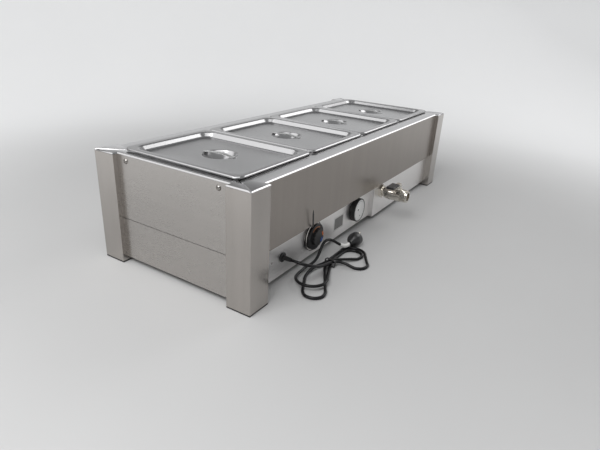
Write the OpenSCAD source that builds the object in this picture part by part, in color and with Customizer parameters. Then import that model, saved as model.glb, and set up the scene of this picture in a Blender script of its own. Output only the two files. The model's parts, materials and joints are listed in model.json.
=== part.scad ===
// Countertop bain-marie: a sheet-steel cabinet on four corner posts, a water tank with four food pans and lift-off
// lids, a thermostat and a switch on a set-back control panel, a drain valve, and a mains lead tied in a hank.
// Sizes are in millimetres. Cabinet coordinates start at the front left corner post: x runs along the cabinet,
// y from the control side to the back, z up from the table.

/* [Cabinet] */
// Length over the corner posts
cab_l = 1120; // [1100:5:1240]
// Depth over the corner posts
cab_w = 430; // [426:1:520]
// Height from the table to the top of the deck
cab_h = 260; // [256:1:290]
// Side of the square corner posts
post_s = 60; // [50:1:62]
// Wall of the folded posts
post_t = 1.5; // [1:0.1:3]
// Thickness of the pads under the posts
pad_t = 3; // [2:0.5:8]
// How far a pad's plug reaches up into its post
pad_plug = 12; // [5:1:20]
// How far the panels sit back from the post faces
panel_in = 12; // [6:1:16]
// Sheet thickness of the panels
panel_t = 1.2; // [0.8:0.1:2]
// Width of the folds along the panels' edges
fold_w = 12; // [8:1:20]
// Height of the seam between the base and the upper panels
seam_z = 110; // [104:1:112]
// Gap that shows at the seam
seam_gap = 1; // [0.5:0.1:2]
// Height of the base panels' lower edge above the table
base_z = 13; // [8:1:20]
// Head diameter of the dome-head screws
screw_head = 10; // [7:0.5:14]
// How far the end panels' screws lie below the top of the deck
screw_drop = 15; // [12:1:20]
// How far those screws lie from the post beside them
screw_side = 26; // [15:1:60]

/* [Deck and tank] */
// Thickness of the deck's hemmed edge
deck_t = 3; // [2:0.5:5]
// Height of the flange that the deck turns down behind the panels
flange_h = 28; // [26:1:40]
// Thickness of that flange
flange_t = 1.5; // [1:0.1:3]
// How far the tank's floor lies above the panels' seam
floor_up = 8; // [6:0.5:14]
// Sheet thickness of the tank
tank_t = 1.2; // [0.8:0.1:2]
// Width of the crossbars between the pans
bar_w = 16; // [12:1:20]
// Sheet thickness of the crossbars
bar_t = 1.2; // [0.8:0.1:2]
// Depth of the crossbars' stiffening web
web_h = 15; // [8:1:25]
// How far the crossbars lap on to the deck
bar_lap = 8; // [4:1:9]

/* [Pans and lids] */
// What the row of pans leaves free at each end of the cabinet
row_end = 30; // [28:0.5:60]
// What the row of pans leaves free at the front and the back
row_side = 52.5; // [51:0.5:70]
// Water space between the tank's floor and the pans
pan_under = 47.2; // [40:0.2:70]
// Sheet thickness of pans and lids
sheet_t = 1; // [0.7:0.1:1.5]
// How far the nominal pan size reaches past the deck's opening
rim_seat = 12; // [11:0.5:16]
// Height of the rolled lip on a pan's rim
pan_lip = 4; // [3:0.5:6]
// How much each pan rim is smaller than its nominal size
pan_gap = 5; // [4:0.5:8]
// How much each lid is smaller than the nominal pan size
lid_gap = 1; // [0.5:0.25:2]
// Height of the lip that a lid turns down over its pan's rim
lid_lip = 2.5; // [1.5:0.25:3]
// How far a lid's panel is sunk below its rim
lid_sink = 11; // [6:1:16]
// Slope of a lid's sunken wall, across
lid_slope = 8; // [4:1:14]
// Diameter of the dish under a lid's handle
dish_d = 80; // [60:1:110]
// Depth of that dish
dish_h = 20; // [12:1:26]
// Width of the bar handle
grip_w = 14; // [10:1:20]
// Thickness of the bar handle
grip_t = 1.6; // [1.2:0.1:3]
// How far the bar handle's middle rises
grip_rise = 3; // [0:0.5:6]
// Length of the bar handle's feet, welded beside the dish
grip_foot = 11; // [8:1:16]

/* [Controls] */
// Setback of the control panel from the post faces
ctrl_in = 36; // [30:1:40]
// Setback of the drain panel from the post faces
drain_in = 22; // [16:1:26]
// Where the control panel ends and the drain panel starts
step_x = 612; // [600:1:620]
// Height of the two knobs' shafts
knob_z = 63.5; // [58:0.5:70]
// Place of the switch along the cabinet
switch_x = 288; // [270:1:320]
// Place of the thermostat along the cabinet
stat_x = 516; // [480:1:540]
// Diameter of the two knobs
knob_d = 66; // [50:1:70]
// Depth of the thermostat knob
stat_h = 15; // [12:0.5:18]
// Gap between a knob and what is behind it
knob_gap = 1; // [0.5:0.1:2]
// Outer diameter of the chrome ring behind the switch knob
bezel_d = 72; // [71:1:78]
// Depth of that ring
bezel_h = 5; // [3:0.5:7]
// Diameter of the control shafts
shaft_d = 6; // [5:0.5:8]
// Radial clearance of the control shafts in their bushes
shaft_play = 0.05; // [0.02:0.01:0.1]
// Outer diameter of the threaded bushes that hold the controls in the panel
bush_d = 12; // [10:0.5:16]
// Side of the thermostat and switch housings
box_s = 46; // [38:1:50]
// Depth of those housings behind the panel
box_h = 41; // [40:1:50]

/* [Heating] */
// Diameter of the heating tube
heat_d = 8.5; // [6:0.5:12]
// Height of the heating tube above the tank's floor
heat_up = 16; // [12:1:20]
// Distance of the heating tube's legs and far bend from the cabinet's ends
heat_end = 150; // [120:5:200]
// Radius of the heating tube's far bend
heat_r = 50; // [40:1:54]
// Diameter of the sensing bulb
bulb_d = 7; // [5:0.5:8]
// Length of the sensing bulb
bulb_l = 90; // [60:5:120]
// Diameter of the capillary tube
cap_d = 3; // [2:0.5:4]

/* [Drain valve] */
// Place of the drain along the cabinet
valve_x = 658; // [650:1:760]
// Height of the drain pipe's axis
valve_z = 83; // [78:0.5:86]
// How far the outlet stands out in front of the post faces
valve_reach = 64; // [60:1:90]
// Outer diameter of the drain pipe
pipe_d = 26.4; // [24:0.2:28]
// Bore of the drain pipe
pipe_bore = 20; // [16:0.5:21]
// Where the drain hole lies, behind the post faces
drain_y = 100; // [90:1:130]
// Across flats of the lock nut on the panel
nut_af = 36; // [34:0.5:42]
// Thickness of the lock nut
nut_t = 8; // [6:0.5:12]
// Across flats of the valve's two ends
hex_af = 34; // [32:0.5:40]
// Diameter of the valve's barrel
barrel_d = 38; // [37:0.5:44]
// Diameter of the ball
ball_d = 26; // [25:0.2:27]
// Bore through the ball and the seats
ball_bore = 17; // [12:0.5:18]
// Bore of the female thread in the outlet
outlet_d = 24.1; // [20:0.1:26]
// Depth of that thread
outlet_l = 12; // [8:0.5:14]
// Diameter of the valve stem
stem_d = 8; // [6:0.5:10]
// Height of the lever's foot above the pipe's axis
lever_z = 27; // [25:0.5:34]
// Length of the lever from the stem
lever_l = 68; // [55:1:90]
// Width of the steel lever
lever_w = 18; // [14:1:24]
// Thickness of the steel lever
lever_t = 2.5; // [2:0.5:4]
// How far the lever steps up between its foot and its grip
lever_rise = 9; // [4:1:14]
// Wall of the soft sleeve on the lever
sleeve_t = 2; // [1:0.5:3]

/* [Cord] */
// Diameter of the mains lead
cord_d = 7; // [6:0.5:7.5]
// Place of the cable gland along the cabinet
gland_x = 160; // [155:1:180]
// Height of the cable gland
gland_z = 57; // [54:0.5:62]
// Diameter of the gland's flange
gland_d = 22; // [18:1:28]
// Length of the gland's tapered strain relief
relief_l = 20; // [18:1:22]
// Diameter of the plug's body
plug_d = 37; // [30:1:37]
// Length of the plug's body
plug_l = 36; // [28:1:44]

/* [Hidden] */
$fn = 64;

steel = [0.67, 0.65, 0.63];
steel_dark = [0.50, 0.47, 0.44];
polished = [0.80, 0.80, 0.81];
black = [0.06, 0.06, 0.06];
nickel = [0.82, 0.80, 0.75];

// The part's origin lies under the middle of its box, which takes in the valve that stands out in front
front_y = (valve_reach - cab_w) / 2;
module cab() translate([-cab_l / 2, front_y, 0]) children();

deck_z = cab_h - deck_t;
pan_n = 4;
pan_x = (cab_l - 2 * row_end) / pan_n;
pan_y = cab_w - 2 * row_side;
open_x = row_end + rim_seat;
open_y = row_side + rim_seat;
floor_z = seam_z + floor_up;
floor_under = floor_z - tank_t;
hole_play = 0.1;

// Posts: square tubes of folded sheet, with a black pad plugged into each foot
module post(right, back) color(steel) cab()
  translate([right * (cab_l - post_s), back * (cab_w - post_s), pad_t]) difference() {
    cube([post_s, post_s, deck_z - pad_t]);
    translate([post_t, post_t, -1]) cube([post_s - 2 * post_t, post_s - 2 * post_t, deck_z]);
  }
module foot_pads() color(black) cab() for (right = [0, 1], back = [0, 1])
  translate([right * (cab_l - post_s), back * (cab_w - post_s), 0]) {
    cube([post_s, post_s, pad_t]);
    translate([post_t + hole_play, post_t + hole_play, 0])
      cube([post_s - 2 * (post_t + hole_play), post_s - 2 * (post_t + hole_play), pad_t + pad_plug]);
  }

// Deck: four rails, mitred from the cabinet's corners to the corners of the opening. Each widens over the posts
// and turns a flange down behind the panel under it.
module deck_rail(length, inner_x, inner_y) {
  translate([0, 0, deck_z]) linear_extrude(deck_t) polygon([[0, 0], [post_s, 0], [post_s, panel_in],
    [length - post_s, panel_in], [length - post_s, 0], [length, 0], [length - inner_x, inner_y], [inner_x, inner_y]]);
  translate([post_s, panel_in + panel_t, deck_z - flange_h]) cube([length - 2 * post_s, flange_t, flange_h]);
}
module end_rail() difference() {
  deck_rail(cab_w, open_y, open_x);
  screw_holes();
}
module screw_holes() for (x = [post_s + screw_side, cab_w - post_s - screw_side])
  translate([x, panel_in - 1, cab_h - screw_drop]) rotate([-90, 0, 0])
    cylinder(d = screw_head / 2 + 2 * hole_play, h = panel_t + flange_t + 2);
// The four sides of the cabinet: x along the side from its left end, y inwards, seen from outside
module at_front() translate([0, 0, 0]) children();
module at_right() translate([cab_l, 0, 0]) rotate([0, 0, 90]) children();
module at_back() translate([cab_l, cab_w, 0]) rotate([0, 0, 180]) children();
module at_left() translate([0, cab_w, 0]) rotate([0, 0, 270]) children();
module deck_front() color(polished) cab() at_front() deck_rail(cab_l, open_x, open_y);
module deck_back() color(polished) cab() at_back() deck_rail(cab_l, open_x, open_y);
module deck_left() color(polished) cab() at_left() end_rail();
module deck_right() color(polished) cab() at_right() end_rail();

// Panels: sheets between the posts with folds turned inwards along their edges
module sheet_panel(length, setback, z0, z1, low_fold, high_fold) translate([0, setback, z0]) {
  cube([length, panel_t, z1 - z0]);
  if (low_fold > 0) cube([length, low_fold, panel_t]);
  if (high_fold > 0) translate([0, 0, z1 - z0 - panel_t]) cube([length, high_fold, panel_t]);
}
upper_z = seam_z + seam_gap / 2;
base_top = seam_z - seam_gap / 2;
front_fold = ctrl_in + fold_w - panel_in;
module upper_panel(side_l, fold) translate([post_s, 0, 0])
  sheet_panel(side_l - 2 * post_s, panel_in, upper_z, deck_z, fold, 0);
module base_panel(side_l) translate([post_s, 0, 0])
  sheet_panel(side_l - 2 * post_s, panel_in, base_z, base_top, fold_w, fold_w);
module upper_panel_front() color(steel_dark) cab() at_front() upper_panel(cab_l, front_fold);
module upper_panel_back() color(steel_dark) cab() at_back() upper_panel(cab_l, fold_w);
module end_panel() difference() {
  upper_panel(cab_w, fold_w);
  screw_holes();
}
module upper_panel_left() color(steel) cab() at_left() end_panel();
module upper_panel_right() color(steel) cab() at_right() end_panel();
module base_panel_back() color(steel_dark) cab() at_back() base_panel(cab_l);
module base_panel_left() color(steel) cab() at_left() base_panel(cab_w);
module base_panel_right() color(steel) cab() at_right() base_panel(cab_w);

// Control panel and drain panel: the lower front, set back under the upper panel's fold, in two depths
block_x = gland_x - 39;
small_screw = screw_head / 2;
module panel_hole(x, setback, z, d) translate([x, setback - 1, z]) rotate([-90, 0, 0])
  cylinder(d = d, h = panel_t + 2);
module control_panel() color(steel) cab() difference() {
  translate([post_s, 0, 0]) sheet_panel(step_x - post_s, ctrl_in, base_z, upper_z, fold_w, 0);
  for (x = [switch_x, stat_x]) panel_hole(x, ctrl_in, knob_z, bush_d + 2 * hole_play);
  panel_hole(gland_x, ctrl_in, gland_z, gland_thread + 2 * hole_play);
  panel_hole(block_x, ctrl_in, gland_z, small_screw / 2 + 2 * hole_play);
}
module drain_panel() color(steel) cab() difference() {
  union() {
    translate([step_x, 0, 0])
      sheet_panel(cab_l - post_s - step_x, drain_in, base_z, upper_z, ctrl_in - drain_in + fold_w, 0);
    translate([step_x, drain_in, base_z]) cube([panel_t, ctrl_in + panel_t - drain_in, upper_z - base_z]);
  }
  panel_hole(valve_x, drain_in, valve_z, pipe_d + 2 * hole_play);
}

// Base plate: lies on the lower panels' bottom folds, cut round the posts
module base_plate() color(steel_dark) cab() difference() {
  inset = panel_in + panel_t;
  front = ctrl_in + panel_t;
  translate([inset, front, base_z + panel_t]) cube([cab_l - 2 * inset, cab_w - inset - front, panel_t]);
  for (right = [0, 1], back = [0, 1])
    translate([right * (cab_l - post_s) - hole_play, back * (cab_w - post_s) - hole_play, base_z])
      cube([post_s + 2 * hole_play, post_s + 2 * hole_play, 3 * panel_t]);
  for (i = [-4 : 4], j = [-1, 1]) translate([cab_l / 2 + i * 90, cab_w / 2 + j * 60, base_z])
    vent_slot();
}
module vent_slot() linear_extrude(3 * panel_t) {
  square([40, 5], center = true);
  for (x = [-20, 20]) translate([x, 0]) circle(d = 5);
}

// Tank: an open box welded under the deck's inner edges, with clips that carry the heating tube
bulb_y = open_y + 8;
heat_z = floor_z + heat_up;
heat_ys = [cab_w / 2 - heat_r, cab_w / 2 + heat_r];
module water_tank() color(polished) cab() {
  difference() {
    translate([open_x - tank_t, open_y - tank_t, floor_under])
      cube([cab_l - 2 * (open_x - tank_t), cab_w - 2 * (open_y - tank_t), deck_z - floor_under]);
    translate([open_x, open_y, floor_z]) cube([cab_l - 2 * open_x, cab_w - 2 * open_y, cab_h]);
    translate([valve_x, drain_y, floor_under - 1]) cylinder(d = pipe_bore, h = tank_t + 2);
    for (y = heat_ys) translate([heat_end, y, floor_under - 1])
      cylinder(d = heat_d + 2 * hole_play, h = tank_t + 2);
    translate([stat_x, bulb_y, floor_under - 1]) cylinder(d = cap_d + 2 * hole_play, h = tank_t + 2);
  }
  for (y = heat_ys, x = [cab_l / 3, 2 * cab_l / 3])
    translate([x - 4, y - heat_d, floor_z]) cube([8, 2 * heat_d, heat_up - heat_d / 2]);
}

// Crossbars: three T-bars whose ends lap on to the deck between the pans
module crossbars() color(polished) cab() for (i = [1 : pan_n - 1]) translate([row_end + i * pan_x, 0, 0]) {
  translate([-bar_w / 2, open_y - bar_lap, cab_h]) cube([bar_w, cab_w - 2 * (open_y - bar_lap), bar_t]);
  translate([-bar_t / 2, open_y + 1, cab_h - web_h]) cube([bar_t, cab_w - 2 * (open_y + 1), web_h]);
}

// Heating element: one hairpin tube lying over the tank's floor, its legs clamped through the floor
heat_bend = 2.2 * heat_d;
leg_drop = 26;
module heating_element() color(steel_dark) cab() {
  straight = cab_l - 2 * heat_end - heat_bend - heat_r;
  for (y = heat_ys) translate([heat_end, y, heat_z]) {
    translate([heat_bend, 0, 0]) rotate([0, 90, 0]) cylinder(d = heat_d, h = straight);
    translate([heat_bend, 0, -heat_bend]) rotate([90, 0, 180]) rotate_extrude(angle = 90)
      translate([heat_bend, 0]) circle(d = heat_d);
    leg = heat_up - heat_bend + tank_t + leg_drop;
    translate([0, 0, -heat_up - tank_t - leg_drop]) cylinder(d = heat_d, h = max(leg, leg_drop));
    translate([0, 0, -heat_up]) cylinder(d = 2 * heat_d, h = 3);
    translate([0, 0, -heat_up - tank_t - 5]) cylinder(d = 2 * heat_d, h = 5, $fn = 6);
  }
  translate([cab_l - heat_end - heat_r, cab_w / 2, heat_z]) rotate([0, 0, -90]) rotate_extrude(angle = 180)
    translate([heat_r, 0]) circle(d = heat_d);
}

// Thermostat and switch: housings behind the control panel, each with a bush through it for the shaft
rear_y = ctrl_in + panel_t;
bush_out = 4;
shaft_in = 20;
module control_box(x) translate([x, rear_y, knob_z]) difference() {
  union() {
    translate([-box_s / 2, 0, -box_s / 2]) cube([box_s, box_h, box_s]);
    rotate([90, 0, 0]) cylinder(d = bush_d, h = panel_t + bush_out);
  }
  translate([0, shaft_in + 0.2, 0]) rotate([90, 0, 0])
    cylinder(d = shaft_d + 2 * shaft_play, h = shaft_in + panel_t + bush_out + 1);
}
module control_shaft(x, out) color(nickel) cab() translate([x, rear_y + shaft_in, knob_z]) rotate([90, 0, 0])
  cylinder(d = shaft_d, h = shaft_in + panel_t + out);
module thermostat_body() color([0.75, 0.72, 0.66]) cab() control_box(stat_x);
module switch_body() color([0.2, 0.2, 0.22]) cab() control_box(switch_x);

// Sensing bulb: a capillary from the thermostat up through the tank's floor to a bulb beside the heating tube
module sensing_bulb() color([0.72, 0.45, 0.30]) cab() {
  top = floor_z + heat_up;
  start = knob_z + box_s / 2;
  translate([stat_x, bulb_y, start]) cylinder(d = cap_d, h = top - start);
  translate([stat_x, bulb_y, floor_z]) cylinder(d = 3 * cap_d, h = 3);
  translate([stat_x - cap_d, bulb_y, top]) rotate([0, 90, 0]) cylinder(d = bulb_d, h = bulb_l);
}

// Chrome ring on the panel behind the switch knob, with a rounded edge
module switch_bezel() color(polished) cab() translate([switch_x, ctrl_in, knob_z]) rotate([90, 0, 0])
  rotate_extrude() {
    edge = bezel_h / 2;
    translate([bush_d / 2 + 1, 0]) square([bezel_d / 2 - edge - bush_d / 2 - 1, bezel_h]);
    translate([bezel_d / 2 - edge - 0.01, 0]) square([edge + 0.01, edge]);
    translate([bezel_d / 2 - edge, edge]) circle(r = edge);
  }

// Terminal block behind the panel, held by the small screw, and the wires between the controls
block = [42, 22, 22];
module terminal_block() color([0.85, 0.83, 0.76]) cab()
  translate([block_x - block.x / 2, rear_y, gland_z - block.z / 2]) difference() {
    cube(block);
    for (i = [0 : 2]) translate([block.x * (i + 0.5) / 3 - 4, block.y - 6, block.z - 8]) cube([8, 7, 9]);
    translate([block.x / 2, -1, block.z / 2]) rotate([-90, 0, 0]) cylinder(d = small_screw / 2, h = 9);
  }

// Tubes swept along a route of points. A ring stands square to the route at every point.
function unit(v) = v / norm(v);
function along(path, i) = unit(path[min(i + 1, len(path) - 1)] - path[max(i - 1, 0)]);
function ring_at(path, i, r, sides, ref) = let (t = along(path, i), s = unit(cross(ref, t)), u = cross(t, s))
  [for (k = [0 : sides - 1]) path[i] + r * (cos(360 * k / sides) * s + sin(360 * k / sides) * u)];
module tube(path, d, sides, ref = [0, 0, 1])
  skin([for (i = [0 : len(path) - 1]) ring_at(path, i, d / 2, sides, ref)]);
// A skin over rings of equally many points, from a bottom cap to a top cap
module skin(rings) {
  n = len(rings);
  m = len(rings[0]);
  function middle(ring) = [for (c = [0 : 2]) [for (p = ring) p[c]] * [for (p = ring) 1] / m];
  points = concat([for (ring = rings) each ring], [middle(rings[0]), middle(rings[n - 1])]);
  polyhedron(points, concat(
    [for (k = [0 : n - 2], i = [0 : m - 1]) let (j = (i + 1) % m)
      each [[k * m + i, (k + 1) * m + i, (k + 1) * m + j], [k * m + i, (k + 1) * m + j, k * m + j]]],
    [for (i = [0 : m - 1]) [n * m, i, (i + 1) % m]],
    [for (i = [0 : m - 1]) [n * m + 1, (n - 1) * m + (i + 1) % m, (n - 1) * m + i]]));
}
// A smooth curve through points chosen by hand
function spline(p, steps) = let (n = len(p) - 1) concat([for (i = [0 : n - 1], k = [0 : steps - 1])
  curve(p[max(i - 1, 0)], p[i], p[i + 1], p[min(i + 2, n)], k / steps)], [p[n]]);

wire_d = 3;
back_y = rear_y + box_h;
leg_end = floor_under - leg_drop;
wire_ref = unit([0.31, 0.47, 0.83]);
wire_low = 37;
wire_mid = 50;
wire_stub = 6;
wire_play = 0.3;
wire_bow = 18;
pole = block.x / 3;
pole_z = gland_z + 7;
module wiring() color([0.35, 0.20, 0.15]) cab() {
  block_back = rear_y + block.y - 6 + wire_play;
  out_y = back_y + wire_stub;
  bow_y = back_y + wire_bow;
  wire([[block_x, block_back, pole_z], [block_x, block_back + wire_stub, pole_z],
    [block_x, block_back + 3 * wire_stub, pole_z], [block_x + pole, bow_y, wire_mid],
    [(block_x + switch_x) / 2, bow_y, wire_low], [switch_x - pole, bow_y, wire_mid], [switch_x - pole, out_y, knob_z],
    [switch_x - pole, back_y, knob_z]]);
  wire([[switch_x + pole, back_y, knob_z], [switch_x + pole, out_y, knob_z], [switch_x + 1.5 * pole, bow_y, wire_mid],
    [(switch_x + stat_x) / 2, bow_y, wire_low], [stat_x - 1.5 * pole, bow_y, wire_mid], [stat_x - pole, out_y, knob_z],
    [stat_x - pole, back_y, knob_z]]);
  wire([[stat_x + pole, back_y, knob_z], [stat_x + pole, out_y, knob_z], [stat_x, bow_y + wire_stub, wire_mid],
    [stat_x - 4 * pole, heat_ys[0], wire_low], [heat_end + 4 * pole, heat_ys[0], wire_low],
    [heat_end + wire_stub, heat_ys[0], wire_mid], [heat_end, heat_ys[0], leg_end - wire_stub],
    [heat_end, heat_ys[0], leg_end]]);
  wire([[block_x - pole, block_back, pole_z], [block_x - pole, block_back + wire_stub, pole_z],
    [block_x - pole, block_back + 3 * wire_stub, pole_z], [block_x - pole, bow_y, wire_mid], [heat_end, heat_ys[1] - 4 * pole, wire_low],
    [heat_end, heat_ys[1] - wire_stub, wire_mid], [heat_end, heat_ys[1], leg_end - wire_stub],
    [heat_end, heat_ys[1], leg_end]]);
}
module wire(points) tube(spline(points, 3), wire_d, 6, wire_ref);

// Cable gland: a round flange and a tapered strain relief in front, its thread and nut behind the panel
gland_thread = 16;
gland_t = 4;
relief_d = 12;
module cable_gland() color(black) cab() translate([gland_x, ctrl_in, gland_z]) rotate([90, 0, 0]) difference() {
  union() {
    cylinder(d = gland_d, h = gland_t);
    translate([0, 0, gland_t]) cylinder(d1 = relief_d, d2 = cord_d + 2, h = relief_l);
    translate([0, 0, -panel_t]) cylinder(d = gland_thread, h = panel_t);
    translate([0, 0, -panel_t - 6]) cylinder(d = gland_d, h = 6, $fn = 6);
  }
  translate([0, 0, gland_t + relief_l - 14]) cylinder(d = cord_d, h = 15);
}

// Screws: four dome heads in the end panels and a small one that holds the terminal block
module dome_screw(head, length) {
  rise = 0.35 * head;
  ball = (head * head / 4 + rise * rise) / (2 * rise);
  intersection() {
    translate([0, 0, rise - ball]) sphere(r = ball);
    cylinder(d = head, h = rise);
  }
  translate([0, 0, -length]) cylinder(d = head / 2, h = length);
}
module panel_screws() color(polished) cab() {
  for (y = [post_s + screw_side, cab_w - post_s - screw_side]) {
    translate([panel_in, y, cab_h - screw_drop]) rotate([0, -90, 0]) dome_screw(screw_head, 8);
    translate([cab_l - panel_in, y, cab_h - screw_drop]) rotate([0, 90, 0]) dome_screw(screw_head, 8);
  }
  translate([block_x, ctrl_in, gland_z]) rotate([90, 0, 0]) dome_screw(small_screw, 8);
}

// Drain: a flanged elbow under the tank and a straight run to the valve, held in the panel by a lock nut
drain_drop = 4;
bend_r = floor_under - valve_z - drain_drop;
valve_len = 68;
inlet_y = valve_len - valve_reach;
socket_l = 12;
module drain_run(d, extra) {
  translate([valve_x, drain_y, valve_z + bend_r]) cylinder(d = d, h = drain_drop + extra);
  translate([valve_x, drain_y - bend_r, valve_z + bend_r]) rotate([90, 0, 90]) rotate([0, 0, -90])
    rotate_extrude(angle = 90) translate([bend_r, 0]) circle(d = d);
  translate([valve_x, drain_y - bend_r, valve_z]) rotate([90, 0, 0])
    cylinder(d = d, h = drain_y - bend_r - inlet_y + socket_l + extra);
}
module drain_pipe() color(nickel) cab() difference() {
  union() {
    drain_run(pipe_d, 0);
    translate([valve_x, drain_y, floor_under - 3]) cylinder(d = pipe_d + 16, h = 3);
  }
  drain_run(pipe_bore, 1);
}
function across(af) = af / cos(30);
module outwards(y) translate([valve_x, y, valve_z]) rotate([90, 0, 0]) children();
module drain_locknut() color(nickel) cab() outwards(drain_in) difference() {
  rotate([0, 0, 30]) cylinder(d = across(nut_af), h = nut_t, $fn = 6);
  translate([0, 0, -1]) cylinder(d = pipe_d, h = nut_t + 2);
}

// Ball valve. Lengths along it are measured outwards from its inlet face.
hex_l = 14;
seat_t = 5;
ball_at = 36;
spigot_d = 34;
spigot_l = 6;
cavity_d = ball_d + 5;
seat_in = ball_at - ball_d / 2 - 3;
seat_out = ball_at + ball_d / 2 + 3;
mouth = 48;
neck_d = 20;
neck_z = 22;
stem_play = 0.05;
lever_gap = 0.5;
module valve_body() color(nickel) cab() outwards(inlet_y) difference() {
  union() {
    rotate([0, 0, 30]) cylinder(d = across(hex_af), h = hex_l, $fn = 6);
    translate([0, 0, hex_l - 1]) cylinder(d = barrel_d, h = mouth - hex_l + 1);
    translate([0, 0, ball_at]) rotate([-90, 0, 0]) cylinder(d = neck_d, h = neck_z);
    translate([0, neck_z - 1, ball_at]) rotate([-90, 0, 0])
      cylinder(d = across(neck_d - 4), h = lever_z - neck_z + 1 - lever_gap, $fn = 6);
  }
  translate([0, 0, -1]) cylinder(d = pipe_d, h = socket_l + 1);
  translate([0, 0, socket_l - 0.5]) cylinder(d = ball_bore, h = ball_at - socket_l);
  translate([0, 0, seat_in]) cylinder(d = cavity_d, h = mouth - seat_in + 1);
  translate([0, 0, mouth - spigot_l]) cylinder(d = spigot_d, h = spigot_l + 1);
  translate([0, 0, ball_at]) rotate([-90, 0, 0]) cylinder(d = stem_d + 2 * stem_play, h = lever_z + 1);
}
module valve_outlet() color(nickel) cab() outwards(inlet_y) difference() {
  union() {
    translate([0, 0, mouth - spigot_l]) cylinder(d = spigot_d, h = spigot_l + 1);
    translate([0, 0, mouth]) rotate([0, 0, 30]) cylinder(d = across(hex_af), h = hex_l, $fn = 6);
    translate([0, 0, mouth + hex_l - 0.5]) cylinder(d = hex_af, h = valve_len - mouth - hex_l + 0.5);
  }
  translate([0, 0, mouth - spigot_l - 1]) cylinder(d = cavity_d, h = seat_out - mouth + spigot_l + 1);
  translate([0, 0, mouth]) cylinder(d = ball_bore, h = valve_len - mouth - outlet_l + 0.5);
  translate([0, 0, valve_len - outlet_l]) cylinder(d = outlet_d, h = outlet_l + 1);
}
seat_play = 0.05;
module valve_seats() color("white") cab() outwards(inlet_y) for (z = [seat_in, seat_out - seat_t]) difference() {
  translate([0, 0, z]) cylinder(d = cavity_d, h = seat_t);
  translate([0, 0, z - 1]) cylinder(d = ball_bore, h = seat_t + 2);
  translate([0, 0, ball_at]) sphere(d = ball_d + 2 * seat_play);
}
tang = [stem_d - 1, 3.5, 4];
module valve_ball() color(polished) cab() outwards(inlet_y - ball_at) difference() {
  rotate([0, 90, 0]) rotate_extrude() intersection() {
    circle(d = ball_d);
    translate([ball_bore / 2, -ball_d]) square([ball_d, 2 * ball_d]);
  }
  translate([-ball_d / 2, ball_d / 2 - tang.y, -tang.z / 2]) cube([ball_d, tang.y + 1, tang.z]);
}
lever_nut = 5;
module valve_stem() color(nickel) cab() outwards(inlet_y - ball_at) {
  translate([-tang.x / 2, ball_d / 2 - tang.y, -tang.z / 2]) cube([tang.x, tang.y + 1, tang.z]);
  translate([0, ball_d / 2, 0]) rotate([-90, 0, 0]) cylinder(d = stem_d, h = lever_z - ball_d / 2 + lever_t + 1);
  translate([0, lever_z + lever_t, 0]) rotate([-90, 0, 0]) cylinder(d = across(13), h = lever_nut, $fn = 6);
}

// Lever: a steel strip stepped up from the stem, with a soft sleeve on its grip. Closed, it lies across the pipe.
lever_foot = 14;
lever_ramp = 12;
sleeve_at = lever_foot + lever_ramp;
module lever_side(t, from) polygon([[-lever_w / 2, 0], [lever_foot, 0], [lever_foot + lever_ramp, lever_rise],
  [lever_l, lever_rise], [lever_l, lever_rise + t], [lever_foot + lever_ramp - t / 3, lever_rise + t],
  [lever_foot - t / 3, t], [-lever_w / 2, t]]);
module at_lever() translate([valve_x, inlet_y - ball_at, valve_z + lever_z]) rotate([0, 0, 180]) children();
module valve_lever() color(steel) cab() at_lever() difference() {
  translate([0, lever_w / 2, 0]) rotate([90, 0, 0]) linear_extrude(lever_w) lever_side(lever_t);
  translate([0, 0, -1]) cylinder(d = stem_d, h = lever_t + 2);
}
module lever_sleeve() color(black) cab() at_lever() translate([sleeve_at, 0, lever_rise]) difference() {
  translate([0, -lever_w / 2 - sleeve_t, -sleeve_t])
    cube([lever_l - sleeve_at + sleeve_t, lever_w + 2 * sleeve_t, lever_t + 2 * sleeve_t]);
  translate([-1, -lever_w / 2, 0]) cube([lever_l - sleeve_at + 1, lever_w, lever_t]);
}

// Knobs: the thermostat's is a plain drum with a shallow dial face, the switch's a skirt with a raised grip
knob_wall = 3;
hub_l = 9;
knob_skirt = 6;
knob_grip = 7;
nut_room = bush_d + 8;
module thermostat_knob() color(black) cab() translate([stat_x, ctrl_in - knob_gap, knob_z]) rotate([90, 0, 0])
  difference() {
    union() {
      cylinder(d = knob_d, h = stat_h - 1);
      translate([0, 0, stat_h - 1]) cylinder(d1 = knob_d, d2 = knob_d - 2, h = 1);
    }
    translate([0, 0, -1]) cylinder(d = nut_room, h = bush_out - knob_gap + 2);
    translate([0, 0, -1]) cylinder(d = shaft_d, h = stat_h - knob_wall + 1);
    translate([0, 0, stat_h - 0.6]) cylinder(d = knob_d - 6, h = 1);
  }
stat_shaft_out = knob_gap + stat_h - knob_wall;
module thermostat_shaft() control_shaft(stat_x, stat_shaft_out);
switch_back = bezel_h + knob_gap;
module switch_knob() color(black) cab() translate([switch_x, ctrl_in - switch_back, knob_z]) rotate([90, 0, 0])
  difference() {
    union() {
      cylinder(d = knob_d, h = knob_skirt - 1);
      translate([0, 0, knob_skirt - 1]) cylinder(d1 = knob_d, d2 = knob_d - 2, h = 1);
      translate([0, 0, knob_skirt - 1]) linear_extrude(knob_grip + 1) difference() {
        circle(d = 0.66 * knob_d);
        for (a = [0 : 30 : 330]) rotate(a) translate([0.365 * knob_d, 0]) circle(d = 0.12 * knob_d);
      }
    }
    translate([0, 0, -1]) cylinder(d = shaft_d, h = knob_skirt + knob_grip - knob_wall + 1);
  }
switch_shaft_out = switch_back + knob_skirt + knob_grip - knob_wall;
module switch_shaft() control_shaft(switch_x, switch_shaft_out);

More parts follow.
